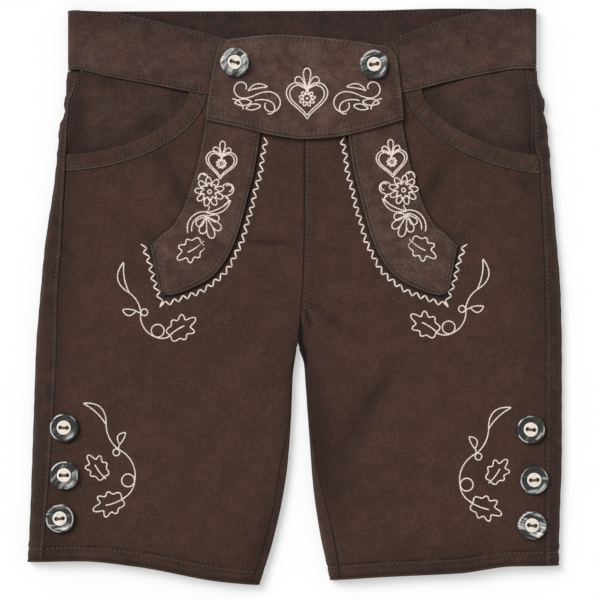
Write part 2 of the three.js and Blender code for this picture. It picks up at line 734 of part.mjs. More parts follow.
function flap() {
  const half = [...CORNER_STEPS, ...range(4).map((share) => mix(14, FLAP_WIDTH / 2, share))];
  const columns = [...half.slice(0, -1), ...half.map((step) => FLAP_WIDTH - step).reverse()];
  const low = range(6).map((share) => mix(FLAP_DEPTH, 12, share));
  const rows = [...low, ...[...CORNER_STEPS].reverse()];
  const grid = rows.map((down) => columns.map((step) => {
    const fromEdge = Math.min(step, FLAP_WIDTH - step);
    const inset = roundCorner(fromEdge, down, FLAP_CORNER);
    const across = step < FLAP_WIDTH / 2 ? inset.a : FLAP_WIDTH - inset.a;
    return flapPoint(across / FLAP_WIDTH, 1 - inset.b / FLAP_DEPTH);
  }));
  return wall(grid, FLAP_CLOTH);
}

// Tab that hangs from under the flap. The left one mirrors the right one.
const tabRows = TAB_SECTIONS.map((section, station) => ({ ...section, station }));
const tabCurves = {
  outerX: curve(tabRows, 'station', 'outerX'),
  outerY: curve(tabRows, 'station', 'outerY'),
  innerX: curve(tabRows, 'station', 'innerX'),
  innerY: curve(tabRows, 'station', 'innerY'),
};

function tabPoint(leg, along, across) {
  const x = mix(tabCurves.outerX(along), tabCurves.innerX(along), across);
  const y = mix(tabCurves.outerY(along), tabCurves.innerY(along), across);
  const placedX = leg.inward > 0 ? x : 2 * FLAP_CENTRE_X - x;
  const lift = CLOTH / 2 + LAYER_GAP + TAB_CLOTH / 2;
  return new THREE.Vector3(placedX, y, frontHeight(leg, placedX, y) + lift);
}

function tab(leg) {
  const end = TAB_SECTIONS.length - 1;
  const corner = CORNER_STEPS.map((step) => end - step / TAB_PITCH);
  const stations = [...corner, 7, 6.3, 5.6, 4.8, 4, 3, 2, 1, 0];
  const columns = [0, 0.25, 0.5, ...CORNER_STEPS.map((step) => 1 - step / TAB_WIDTH).reverse()];
  const grid = stations.map((station) => {
    const line = columns.map((across) => {
      const inset = roundCorner((end - station) * TAB_PITCH, (1 - across) * TAB_WIDTH, TAB_CORNER);
      return tabPoint(leg, end - inset.a / TAB_PITCH, 1 - inset.b / TAB_WIDTH);
    });
    return towardLeft(leg, line);
  });
  return wall(grid, TAB_CLOTH);
}

// ---- Buttons ---------------------------------------------------------------------------

function lathe(profile, segments) {
  const points = profile.map(([r, z]) => new THREE.Vector2(r, z));
  return new THREE.LatheGeometry(points, segments).rotateX(Math.PI / 2);
}

function hornDisc() {
  return lathe([
    [0, 0],
    [BUTTON_RADIUS - 1.3, 0],
    [BUTTON_RADIUS, 1],
    [BUTTON_RADIUS, 2.1],
    [BUTTON_RADIUS - 1.2, BUTTON_HEIGHT],
    [RECESS_RADIUS, 2.3],
    [RECESS_RADIUS, RECESS_FLOOR],
    [0, RECESS_FLOOR],
  ], 16);
}

function toManifold(geometry) {
  const bare = geometry.clone();
  bare.deleteAttribute('normal');
  bare.deleteAttribute('uv');
  const merged = mergeVertices(bare, 1e-4);
  return new wasm.Manifold(new wasm.Mesh({
    numProp: 3,
    vertProperties: new Float32Array(merged.attributes.position.array),
    triVerts: new Uint32Array(merged.index.array),
  }));
}

function fromManifold(solid) {
  const mesh = solid.getMesh();
  const geometry = new THREE.BufferGeometry();
  geometry.setAttribute('position', new THREE.BufferAttribute(mesh.vertProperties, 3));
  geometry.setIndex(new THREE.BufferAttribute(mesh.triVerts, 1));
  geometry.computeVertexNormals();
  return geometry;
}

// Pale centre with its two thread holes.
function buttonCentre() {
  const disc = lathe([
    [0, 0],
    [CENTRE_RADIUS, 0],
    [CENTRE_RADIUS, CENTRE_HEIGHT - 0.5],
    [CENTRE_RADIUS - 0.8, CENTRE_HEIGHT],
    [0, CENTRE_HEIGHT],
  ], 16);
  const drill = (x) => toManifold(new THREE.CylinderGeometry(HOLE_RADIUS, HOLE_RADIUS, 6, 8)
    .rotateX(Math.PI / 2).translate(x, 0, 0));
  const solid = toManifold(disc)
    .subtract(drill(-HOLE_SPACING / 2))
    .subtract(drill(HOLE_SPACING / 2));
  return fromManifold(solid);
}

// ---- Materials and assembly --------------------------------------------------------------

const cloth = (color, roughness = 0.92) => () => (
  new THREE.MeshStandardMaterial({ color, roughness, metalness: 0, side: THREE.FrontSide })
);
const LEG_CLOTH = cloth(0x4e3b34);
const DARK_CLOTH = cloth(0x443430);
const TRIM_CLOTH = cloth(0x4b3c36);
const HORN = cloth(0x3a3634, 0.3);
const PALE = cloth(0xd9cfbe, 0.4);

const group = new THREE.Group();

function add(name, geometry, material) {
  const mesh = new THREE.Mesh(geometry, material());
  mesh.name = name;
  group.add(mesh);
  return mesh;
}

for (const leg of Object.values(LEGS)) {
  add(`back_leg_${leg.name}`, backLeg(leg), DARK_CLOTH);
  add(`front_leg_${leg.name}`, frontLeg(leg), LEG_CLOTH);
  add(`pocket_facing_${leg.name}`, pocketFacing(leg), DARK_CLOTH);
  add(`pocket_binding_${leg.name}`, pocketBinding(leg), TRIM_CLOTH);
  add(`front_waistband_${leg.name}`, frontBand(leg), LEG_CLOTH);
  add(`flap_tab_${leg.name}`, tab(leg), TRIM_CLOTH);
}
add('back_waistband', backBand(), DARK_CLOTH);
add('front_flap', flap(), LEG_CLOTH);

// Height of the cloth's upper face under a button, on the flap or on a leg.
function clothTop({ x, y, name }) {
  if (name.startsWith('flap')) return flapHeight(x, y) + FLAP_CLOTH / 2;
  return frontHeight(legAt(x, y), x, y) + CLOTH / 2;
}

for (const button of BUTTONS) {
  const lean = THREE.MathUtils.degToRad(button.lean);
  const toward = THREE.MathUtils.degToRad(button.toward);
  const axis = new THREE.Vector3(-Math.sin(toward), Math.cos(toward), 0);
  const clear = LAYER_GAP + BUTTON_RADIUS * Math.sin(lean);
  const place = new THREE.Vector3(button.x, button.y, clothTop(button) + clear);
  const disc = add(button.name, hornDisc(), HORN);
  disc.position.copy(place);
  disc.quaternion.setFromAxisAngle(axis, lean);
  const centre = add(`${button.name}_centre`, buttonCentre(), PALE);
  centre.quaternion.copy(disc.quaternion);
  centre.position.set(0, 0, RECESS_FLOOR + LAYER_GAP).applyQuaternion(disc.quaternion).add(place);
}

export default group;
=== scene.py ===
"""Child's knee-length shorts in the lederhosen style, laid flat with the front upwards.

Shapes are worked out in millimetres, in the CAD part's frame, and become meshes in metres. X
runs to the wearer's left, Y from the hems to the waist, and the shorts lie on Z = 0.
"""

import math

import bpy
import numpy as np
from bpy.props import FloatProperty, FloatVectorProperty, PointerProperty
from bpy.types import Operator, Panel, PropertyGroup
from mathutils import Matrix, Vector


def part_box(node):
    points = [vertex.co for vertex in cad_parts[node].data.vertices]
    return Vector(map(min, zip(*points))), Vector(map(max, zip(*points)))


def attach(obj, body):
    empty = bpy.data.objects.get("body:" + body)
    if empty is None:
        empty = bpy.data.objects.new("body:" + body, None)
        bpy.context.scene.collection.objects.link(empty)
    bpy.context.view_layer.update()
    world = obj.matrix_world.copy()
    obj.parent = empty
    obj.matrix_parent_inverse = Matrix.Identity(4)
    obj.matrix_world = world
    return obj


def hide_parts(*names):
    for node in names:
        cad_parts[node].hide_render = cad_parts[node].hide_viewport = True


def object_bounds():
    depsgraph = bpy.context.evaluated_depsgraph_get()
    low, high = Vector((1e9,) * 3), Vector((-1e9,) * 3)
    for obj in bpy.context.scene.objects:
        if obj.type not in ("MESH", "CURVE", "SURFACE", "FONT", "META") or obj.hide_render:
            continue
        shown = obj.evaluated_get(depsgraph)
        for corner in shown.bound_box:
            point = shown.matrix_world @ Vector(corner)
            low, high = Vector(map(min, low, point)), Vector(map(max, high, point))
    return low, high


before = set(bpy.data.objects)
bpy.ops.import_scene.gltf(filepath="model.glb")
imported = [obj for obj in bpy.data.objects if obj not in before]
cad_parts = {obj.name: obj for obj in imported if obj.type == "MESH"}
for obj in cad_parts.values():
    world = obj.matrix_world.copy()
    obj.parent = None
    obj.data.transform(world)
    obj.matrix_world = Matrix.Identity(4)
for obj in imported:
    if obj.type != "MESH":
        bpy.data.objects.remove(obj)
CAD_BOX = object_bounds()

bl_info = {
    "name": "Lederhosen-style shorts",
    "version": (1, 0, 0),
    "blender": (4, 5, 0),
    "location": "3D View > Sidebar > Shorts",
    "description": "Dresses the CAD frame of a child's shorts in cloth, stitching and buttons",
    "category": "Object",
}

MM = 0.001
BODY = "root"


def table(text):
    """Numbers as an array. Line breaks or semicolons end its rows."""
    lines = text.replace(";", "\n").strip().splitlines()
    return np.array([line.split() for line in lines], float)


def rows(names, text):
    """Table as one array for each named column."""
    return dict(zip(names.split(), table(text).T))


# ---- Sizes of the cut, in millimetres ----

SEAM_GAP = 0.14
INSEAM_GAP = 0.24
LAYER_GAP = 0.3
LEG_HEIGHT = 7.8
WAIST_HEIGHT = 8.2
FOLD_HEIGHT = 4.2
TOP_ROUND = 14
UNDER_ROUND = 3.6
CROTCH_Y = -31
SEAM_BACK_Y = 135.2
CENTRE_X = 5
FLAP_CENTRE_X = 5.5
HEM_CENTRE_X = 1.5
BAND_ROUND = 6
BAND_TURN = 7
FACING_DROP = 1.8
FACING_SEAM_DROP = 0.2
FACING_REACH = 1.22
FACING_POWER = 2.6
FACING_END = 0.94
FLAP_WIDTH = 112
FLAP_DEPTH = 50
FLAP_CORNER = 8
TAB_WIDTH = 32
TAB_PITCH = 15
TAB_CORNER = 7
OPENING_OUT = 12
BACK_SPREAD = 20
FRONT_SPREAD = 24
HEM_PACE = 265
BINDING_LIFT = 0.3
BINDING_WIDTH = 10
BRAID_OFF = 3.7
BRAID_LEAN = 0.42
BRAID_FROM = 1.1
THREAD_LAP = 0.22
BRAID_CORNER = (-80, -5)
BRAID_TOP = (-90.6, 31.4)

# Turns of the grids: the front's share of columns at the pocket, how late they fan out to it, a
# height below every hem, and how far the side strip's top slopes.
POCKET_SHARE = 0.7
FAN_POWER = 1.6
BELOW_HEMS = -165.0
STRIP_SLOPE = 0.25

# Where a facing sinks, in shares of its opening, from and over; the flap's sag between the tabs,
# depth and width, and its step off the waistband; the wall left at a border, and the least
# length of a grid's normal.
FACING_LEVEL = (0.55, 0.4)
FLAP_SAG = (1.1, 15)
FLAP_STEP = 8
BORDER_WALL = 0.28
LEAST_NORMAL = 0.35

# Distances of the stitch lines from their edges or seams, and where lines stop short: the
# tabs' under the flap, the waistband's at both ends, and the centre seam's above the hem.
HEM_LINE = 8
SIDE_LINE = 1.8
CENTRE_LINE = 2
BINDING_LINE = 2.4
BAND_TOP_LINE = 2
BAND_SEAM_LINE = 2.5
FLAP_LINE = 2.2
FLAP_LOW_LINE = 4
TAB_OUTER_LINE = 1.4
TAB_INNER_LINE = 3.1
TAB_END_LINE = 2.9
TAB_UNDER_FLAP = 12
BAND_LINE_END = 2
CENTRE_FROM = HEM_PACE / 2 + 24
# The groove behind a rolled edge, where stitches run further in than PIPED_FROM.
PIPE_LINE = 1.55
PIPED_FROM = 2

# Relief, paint and pull along seams and folds: strength, width, and how far in they lie. The DARK
# ones and HEM_DITCH are painted shade.
EDGE_ROLL = (0.26, 0.6, 0.7)
INNER_ROLL = (0.12, 0.6)
PIPE_DENT = (0.36, 0.5)
STITCH_DENT = (0.22, 0.6)
PIPE_DARK = (1, 0.5)
STITCH_DARK = (0.3, 0.5)
EDGE_LIGHT = (0.55, 0.5, 0.75)
INNER_LIGHT = (0.4, 0.5)
NEAR_PULL = (0.45, 0.9)
FAR_PULL = (0.4, 3.4)
HEM_PUCKER = (0.17, 4.5, 1)
HEM_RIDGE = (0.18, 1.6, 2.8)
HEM_DITCH = (1.1, 0.8, 1.3)
FOLD_LIGHT = (0.3, 0.8, 1)
RIM_DARK = (0.35, 3)
SIDE_DARK = (0.45, 0.8)
CENTRE_DARK = (0.45, 0.7)
BINDING_DARK = (0.4, 0.7)
FACING_DARK = (0.42, 4, 4)
HIP_BULGE = (1.3, 20, 108)

# How much of the folds' painted shadows shows, how dark the painted shade in the tabs' creases
# is, and the bindings' puckers: strength, pitch and slant.
SHADOW_SHARE = {"back": 0.4, "binding": 0.3, "tab": 0.25}
CREASE_DARK = 0.8
BINDING_PUCKER = (0.16, 4.6, 0.8)

# The turned-up hem: its second layer, and its puckers' slant and pitch.
HEM_LAYER = 0.3
HEM_SLANT = 0.7
HEM_PITCH = 5.5
HEM_DARK = 0.22
HEM_WEAR = 0.6
GAPE_DARK = 1.38
GAPE_DENT = 0.3

# The left front's lap at the centre seam: its start, rise, width and share of a seam's marks.
LAP_FROM = -11
LAP_RISE = 0.5
LAP_WIDTH = 5.2
LAPPED = {"lift": 0.5, "groove": 0.3, "wear": 0.15}

# Puckers along the side strip: strength, pitch and slant. Relief of the back legs starts clear
# of the surface. FAR_OFF is further than a fold's light reaches.
SIDE_PUCKERS = ((0.45, 14, 0), (0.16, 5.2, 0.5))
STRIP_WIDTH = 11
CLEAR_HEIGHT = 1.5
FAR_OFF = 40

# How strongly mottled patches show on the legs and on other pieces, and the painted shade that
# darkens the waistband towards its top edge: strength and reach.
LEG_MOTTLE = 0.13
PIECE_MOTTLE = 0.2
BAND_TOP_SHADE = ((0.5, 5.5), (0.2, 20))

# Threads: how far they arch off the cloth and their ends sink into it, the pitch of their twist
# in metres and their sheen, and the even steps of motif lines.
TOP_ARCH = (0.06, 0.04)
MOTIF_ARCH = (0.1, 0.1)
BAR_ARCH = (0.1, 0.05)
TOP_TWIST = (0.0005, 0.1)
MOTIF_TWIST = (0.0007, 0.25)
BAR_TWIST = (0.0006, 0.1)
EVEN_STEP = 0.5

# Buttons, and the painted highlight on the rim: a pale line given as for the seams.
BUTTON_HEIGHT = 3
CENTRE_BASE = 1.6
EYE_SPACING = 4
EYE_RADIUS = 1.15
EYE_DEPTH = 1.2
DISC_SIDES = 72
CENTRE_SIDES = 64
RIM_HIGHLIGHT = (1, 0.32, 7.9)
STRANDS = rows("aside height", "-0.42 3.1; 0.36 3.22")
DISC_PROFILE = table("""
5 0; 7.4 0; 8.3 0.35; 8.68 1.1; 8.62 2; 8.1 2.75; 7.4 3; 6.8 2.82; 6.1 2.5; 5.3 2.36; 4.85 2.24
4.62 1.95; 4.58 1.42; 4.3 1.3; 2 1.3
""")
CENTRE_PROFILE = table("""
2 1.6; 4 1.6; 4.3 1.85; 4.3 2.7; 4.05 3.02; 3.5 3.1; 3.1 3.09; 2.7 3.08; 2.35 3.07; 2 3.06
1.65 3.05; 1.3 3.05; 0.8 3.05
""")

# Oak leaf of length 1: its half width, its lobes and how deep they are cut.
LEAF_HALF = 0.36
LEAF_LOBES = 7
LEAF_CUT = 0.3
ARC_STEPS = 14

# Stage: the floor, the camera's shift and its film in millimetres, the lamp's place and how far
# the camera sees in metres, and the degrees that the lamp spans.
FLOOR_SPAN = 4000
FLOOR_DROP = 0.02
KEY_PLACE = (-1.1, 1.0, 1.7)
KEY_SPREAD = 34
VIEW_SHIFT = (3, -2.1)
SENSOR_WIDTH = 36
VIEW_REACH = 20


SIDE = {
    "right": rows("y fold seam", """
-160 -160.2 -151; -117 -158.4 -147.7; -59 -156.4 -143.7; -31 -155.4 -142.6; -1 -153 -142
31 -150 -139.8; 67 -144.6 -138; 84 -142.8 -137; 95 -142 -136.3; 103 -140.4 -135.8
108 -139.2 -135.4; 116 -138.1 -134.5; 126 -137.5 -131; 135 -136.2 -128.5
"""),
    "left": rows("y fold seam", """
-162 158.1 150; -131 159 150; -91 160.2 150.2; -36 160.2 150.5; 0 159.5 150; 38 156.6 148.8
74 153.6 146.8; 82 153.1 146; 89 152.7 143.4; 103 150.6 143.2; 112 149.9 143.2; 119 149 142.6
124 147.4 141.6; 130 145.3 140.2; 136 145.1 138.6
"""),
}
INSIDE = {
    "right": rows("y fold seam", """
-172 -21.3 -26.1; -149 -13.8 -18.4; -120 -7.2 -11.5; -102 -4.5 -9; -84 -3 -5; -63 -1.8 -2.2
-48 -1.2 -1.2; -31 1.2 1.2
"""),
    "left": rows("y fold seam", """
-170 21.3 27.8; -142 15 22.8; -113 10.8 15.7; -84 8.6 10.4; -52 6.2 6.4; -41 5.4 5.4; -31 2.2 2.2
"""),
}
CENTRE_SEAM = rows("y x", "-31 1.6; -20 2.6; -5 3.9; 12 5.1; 45 5.8; 130 5.8")
WAIST = rows("x seam top", """
-136 135.5 171.3; -125 134.5 170.9; -112 131.4 170.3; -84 126.3 164.8; -53 120.7 157.2
-35 118.9 152.5; 5 116.5 149.5; 50 119.6 150; 65 121.7 156.4; 91 128 166; 119 133.8 171.3
133 135.9 172.2; 145 136.2 172.4
""")
BACK_WAIST = rows("x top", "-136 171.3; 43 171.9; 93 173.1; 145 172.4")
HEM = {
    "right": rows("x y", "-160 -159.3; -129 -158.7; -95 -162; -45 -170.7; -21 -173"),
    "left": rows("x y", "21 -170.2; 47 -168.4; 98 -165.9; 131 -161.7; 158 -161.4"),
}
POCKET = {
    "right": {"x": -137, "power": 1.8, "bottom": (85, 75), "across": (73.5, 84)},
    "left": {"x": 147, "power": 1.65, "bottom": (84.6, 73.5), "across": (71, 81)},
}
BAND_ENDS = {"right": -136.2, "left": 144.9}
FLAP_SIDES = rows("y left right", """
95 -53.4 65.7; 105.5 -53.2 65.1; 124 -50.9 63.5; 156 -44.6 59.4
""")
FLAP_TOP = rows("x y", "-45 153; -9.8 156.2; 18.6 154.3; 60 148.6")
FLAP_BOTTOM = rows("x y", """
-53.4 105.3; -36 101.7; -10.8 95.8; 5 93.9; 22.8 95; 48.2 100.5; 65.7 105.7
""")
TAB_SECTIONS = rows("station outer_x outer_y inner_x inner_y", """
0 -52.4 112 -19.4 110; 1 -53.6 102 -20.9 97; 2 -56 89.3 -24 76.5; 3 -58.6 77 -28.2 59.4
4 -62.6 64.7 -32.6 42.5; 5 -67.8 50.7 -38.6 26.5; 6 -73.5 42 -49 12.2; 7 -80.2 36.2 -64 3.8
8 -86.4 30.3 -80.4 -1.2
""")
TAB_END = 8

# Buttons: how far each leans and which way, the turns of its grain and its thread, all in
# degrees, and how strongly its horn is streaked.
BUTTONS = {
    "flap_button_right": (1.2, 200, 38, -14, 1.0),
    "flap_button_left": (2.0, 320, 24, 9, 0.55),
    "hem_button_right_1": (1.4, 170, 20, -3, 0.12),
    "hem_button_right_2": (1.0, 190, 48, 1, 0.4),
    "hem_button_right_3": (1.8, 160, 2, 5, 0.62),
    "hem_button_left_1": (1.2, 10, 74, -6, 0.08),
    "hem_button_left_2": (1.5, 350, 4, 3, 0.3),
    "hem_button_left_3": (1.2, 20, -20, -6, 0.92),
}

# Creases of the front: centre, direction in degrees, reach along and across, and rise. The
# first eleven are the CAD part's own.
CREASES = rows("x y turn reach width rise", """
49 -62 52 42 7 -0.9; 38 -55 50 38 9 0.6; 129 -4 116 34 8 -0.7; -18 30 2 24 4 -0.4
26 31 176 20 4 -0.3; -24 -46 28 28 6 0.6; 27 -44 150 26 5 0.7; -130 28 150 20 6 -0.7
-112 -40 6 36 7 -0.5; -70 -128 96 34 12 0.5; 84 -130 84 32 12 0.5; 46 -66 57 44 4.5 -0.9
62 -80 60 44 12 0.8; 33 -90 80 26 5 -0.5; 20 -12 -42 20 3 -0.8; 24 -4 -38 18 4 0.5
30 -26 -24 24 4 -0.35; -15 31.8 -2 19 1.9 -1; 7.8 -13 -70 8.5 1.1 -0.9; 13 -10 -48 12 2 0.45
-15 27.6 -2 20 2.4 0.45; 20 28.6 -14 15 2 -0.45; -38 30 4 18 4 -0.3; -10 -18 64 14 3 -0.45
-138 27 -34 13 2.4 -0.8; -128 20 -30 16 4 0.5; -116 52 128 26 5 0.4; 137 67 -46 10 2.2 -0.8
132 73 -48 12 2.6 0.5; 143 60 -52 9 2.6 0.4; 118 12 128 26 5 0.5; 122 40 20 20 5 -0.4
-60 -42 172 40 9 -0.4; -86 -86 60 44 10 0.4; -30 -104 70 30 7 -0.4; 96 -84 104 48 11 0.5
118 -40 62 34 8 -0.4; -104 -142 12 22 5 -0.4; -52 -150 168 24 5 0.4; 62 -146 170 26 5 -0.4
112 -140 12 22 5 0.4
""")
# Painted shade: where the cloth's colour is darkened to stand in for shade, as the creases, but
# for the darkness.
SHADOWS = rows("x y turn reach width depth", """
11 -78 97 74 8 1.45; 20 -100 100 60 12 0.6; 46 -66 57 44 6 0.5; 36 -82 66 30 7 0.35
4 -24 92 22 4 0.85; 20 -12 -42 20 3 0.5; -15 31.8 -2 19 2 1.1; 7.8 -13 -70 8.5 1.1 2.6
26 -17 -24 22 3 0.25; 9 -5 -30 10 1.6 0.6; 20 28.6 -14 15 2.4 0.4; -138 27 -34 14 3 0.75
137 66 -46 11 2.6 0.85; -88 -171 -4 110 15 1.05; 92 -168 3 110 13 1; -148 -146 88 60 15 0.85
150 -146 92 50 9 0.6; -20 -150 76 40 8 0.7; -145 20 88 160 9 1.05; 150 0 91 150 12 0.5
-133 104 88 44 8 1.25; -112 86 6 40 7 1.05; -118 130 -10 40 5 0.6; -88 104 34 22 4 0.7
143 100 92 40 8 1; 125 86 -8 34 6 1; 84 112 -42 24 4 0.5; -71 66 118 44 4.5 0.85
-84 33 146 18 4 0.5; 82 66 62 44 4.5 0.85; 95 33 34 18 4 0.5; -34 46 70 46 4 0.6
45 46 110 46 4 0.6; -62 155 90 14 1.6 0.6; 103 152 88 16 1.8 0.4; -66 160 20 20 5 0.4
74 158 160 24 5 0.4; -31 131 90 8 5 0.7; 53 129 90 8 5 0.7; 60 118 92 26 4 0.4
""")
# Creases of the tabs, as on the right one, with X from the flap's middle.
TAB_CREASES = rows("x y turn reach width rise", """
-56 34 -28 16 1.6 -0.6; -58 29 -24 18 3 0.4; -42 62 8 12 2 -0.3; -46 22 40 14 3 0.25
-66 14 60 12 4 0.3
""")
# Creases of the hidden back, which lift it off the surface.
BACK_CREASES = rows("x y turn reach width rise", """
-92 18 24 46 9 1.1; 96 6 158 52 10 1.2; -58 -92 64 44 8 0.9; 64 -104 112 38 9 1.0
-34 62 96 36 7 0.7; 48 74 82 40 8 0.8; -102 96 168 30 7 0.6; 112 92 12 28 6 0.7
""")
# Width of the dent beside the crotch, by height.
GAPE = {
    "right": ((-31, 0), (0, 0)),
    "left": ((-51, -45, -40, -32, -20, -10), (-0.7, 0.2, 1.8, 4.2, 2.2, 0)),
}
# Slow waves over the whole front: pitch, direction, phase and height.
WAVES = rows("pitch turn phase height", """
57 12 0.4 0.2; 38 97 2.1 0.12; 83 141 4.0 0.2; 24 71 1.3 0.06; 17 160 5.2 0.035
""")

# ---- Small mathematics ----


def mix(a, b, t):
    return a + (b - a) * t


def smooth(t):
    t = np.clip(t, 0, 1)
    return t * t * (3 - 2 * t)


def bell(distance, width):
    return np.exp(-((distance / width) ** 2))


def ridge(distance, strength, width, at=0):
    return strength * bell(distance - at, width)


def quarter(distance, reach):
    """Share of its full height that a quarter-elliptical edge has at a distance in from it."""
    u = 1 - np.clip(distance / reach, 0, 1)
    return np.sqrt(1 - u * u)


def curve(table, given, wanted):
    """Monotone cubic through the rows of a table, held level past its ends.

    The slope at a row is the harmonic mean of the slopes on both sides, or 0 at a turn.
    """
    x, y = table[given], table[wanted]
    secant = np.diff(y) / np.diff(x)
    before, after = secant[:-1], secant[1:]
    product = before * after
    total = np.where(product > 0, before + after, 1)
    inner = np.where(product > 0, 2 * product / total, 0)
    slope = np.r_[secant[:1], inner, secant[-1:]]

    def at(q):
        q = np.clip(q, x[0], x[-1])
        i = np.clip(np.searchsorted(x, q, side="right") - 1, 0, len(x) - 2)
        span = x[i + 1] - x[i]
        t = (q - x[i]) / span
        rise = t * t * (3 - 2 * t)
        start = t * (1 - t) ** 2 * span * slope[i]
        end = t * t * (t - 1) * span * slope[i + 1]
        return mix(y[i], y[i + 1], rise) + start + end

    return at


def lengths(vectors):
    return np.linalg.norm(vectors, axis=-1, keepdims=True)


def unit(vectors):
    return vectors / np.maximum(lengths(vectors), 1e-9)


def direction(points, axis):
    """Unit direction of a grid's lines along an axis: the slope of the parabola through each
    point and its two neighbours."""
    p = np.moveaxis(points, axis, 0)
    step = np.diff(p, axis=0)
    length, ahead = np.maximum(lengths(step), 1e-9), unit(step)
    h, k = length[:-1], length[1:]
    inner = (ahead[1:] * h + ahead[:-1] * k) / (h + k)
    line = np.r_[2 * ahead[:1] - inner[:1], inner, 2 * ahead[-1:] - inner[-1:]]
    return np.moveaxis(unit(line), 0, axis)


def leftward(line):
    """Unit direction to the left of a flat line."""
    return direction(line, 0) @ np.array([[0, 1], [-1, 0]])


def along(points, axis):
    """Length of a grid's lines up to each point."""
    p = np.moveaxis(points, axis, 0)
    step = lengths(np.diff(p, axis=0))[..., 0]
    total = np.r_[np.zeros_like(step[:1]), np.cumsum(step, axis=0)]
    return np.moveaxis(total, 0, axis)


EDGE_STEPS = np.array([0, 0.12, 0.35, 0.7, 1.1, PIPE_LINE, 2.1])


def stations(length, step, marks=()):
    """Positions across a width: close together over the two rounded edges and evenly spaced
    between them, with the nearest one moved onto each mark."""
    inner = length - 2 * EDGE_STEPS[-1]
    middle = EDGE_STEPS[-1] + np.linspace(0, inner, int(math.ceil(inner / step)) + 1)
    places = np.r_[EDGE_STEPS[:-1], middle, length - EDGE_STEPS[-2::-1]]
    for mark in marks:
        places[np.argmin(np.abs(places - mark))] = mark
    return places


def round_corner(a, b, radius):
    """Pulls distances a and b from two edges in, so that their corner becomes a round one."""
    u, v = 1 - a / radius, 1 - b / radius
    inside = (a < radius) & (b < radius)
    round_a = radius * (1 - u * np.sqrt(np.maximum(1 - v * v / 2, 0)))
    round_b = radius * (1 - v * np.sqrt(np.maximum(1 - u * u / 2, 0)))
    return np.where(inside, round_a, a), np.where(inside, round_b, b)


# ---- Positions of the grid lines ----

EDGE_SHARES = np.array([1, 0.9965, 0.99, 0.98, 0.967])
SIDE_SHARE = 0.952
FRONT_COLUMNS = np.r_[
    EDGE_STEPS[:-1] / 120 - 1,
    np.linspace(EDGE_STEPS[-1] / 120 - 1, 0, 92)[:-1],
    np.linspace(0, 1 - CENTRE_LINE / FRONT_SPREAD, 22),
    [0.94, 0.96, 0.975, 0.99, 1],
]
FRONT_ROWS = stations(HEM_PACE, 1.2, (HEM_LINE,))
BACK_SIDE = np.r_[EDGE_SHARES, SIDE_SHARE, np.linspace(0.93, 0, 30)[:-1]]
BACK_FLAT = np.linspace(0, 1, 62)
BACK_INSIDE = np.r_[np.linspace(0, 0.95, 16)[1:], EDGE_SHARES[3::-1]]
BACK_ROWS = stations(HEM_PACE, 1.6, (HEM_LINE,))
FACING_STEPS = stations(75, 1.1) / 75
BINDING_ACROSS = stations(BINDING_WIDTH, 0.8, (BINDING_LINE,)) / BINDING_WIDTH
BINDING_RUN = stations(100, 0.8) / 100
BAND_OVER = np.r_[EDGE_STEPS[:-1] / 133, np.linspace(EDGE_STEPS[-1] / 133, 1, 146)[:-1]]
BAND_TURN_STEPS = np.linspace(90, -90, 15)
BAND_ROWS = stations(36, 0.9, (BAND_SEAM_LINE, 36 - BAND_TOP_LINE)) / 36
BACK_BAND_ACROSS = stations(262, 1.5) / 262
FLAP_COLUMNS = stations(FLAP_WIDTH, 0.9, (FLAP_LINE, FLAP_WIDTH - FLAP_LINE))
FLAP_ROWS = stations(FLAP_DEPTH, 0.9, (FLAP_LOW_LINE, FLAP_DEPTH - FLAP_LINE))
TAB_COLUMNS = stations(TAB_WIDTH, 0.85, (TAB_OUTER_LINE, TAB_WIDTH - TAB_INNER_LINE))
TAB_ROWS = stations(TAB_PITCH * TAB_END, 0.9, (TAB_END_LINE,))
PAINTED = ("wear", "groove", "shade")
FRONT_BANDS = ["front_waistband_right", "front_waistband_left"]


# ---- The form of the garment ----

centre_seam = curve(CENTRE_SEAM, "y", "x")
waist_seam = curve(WAIST, "x", "seam")
band_top = curve(WAIST, "x", "top")
back_band_top = curve(BACK_WAIST, "x", "top")


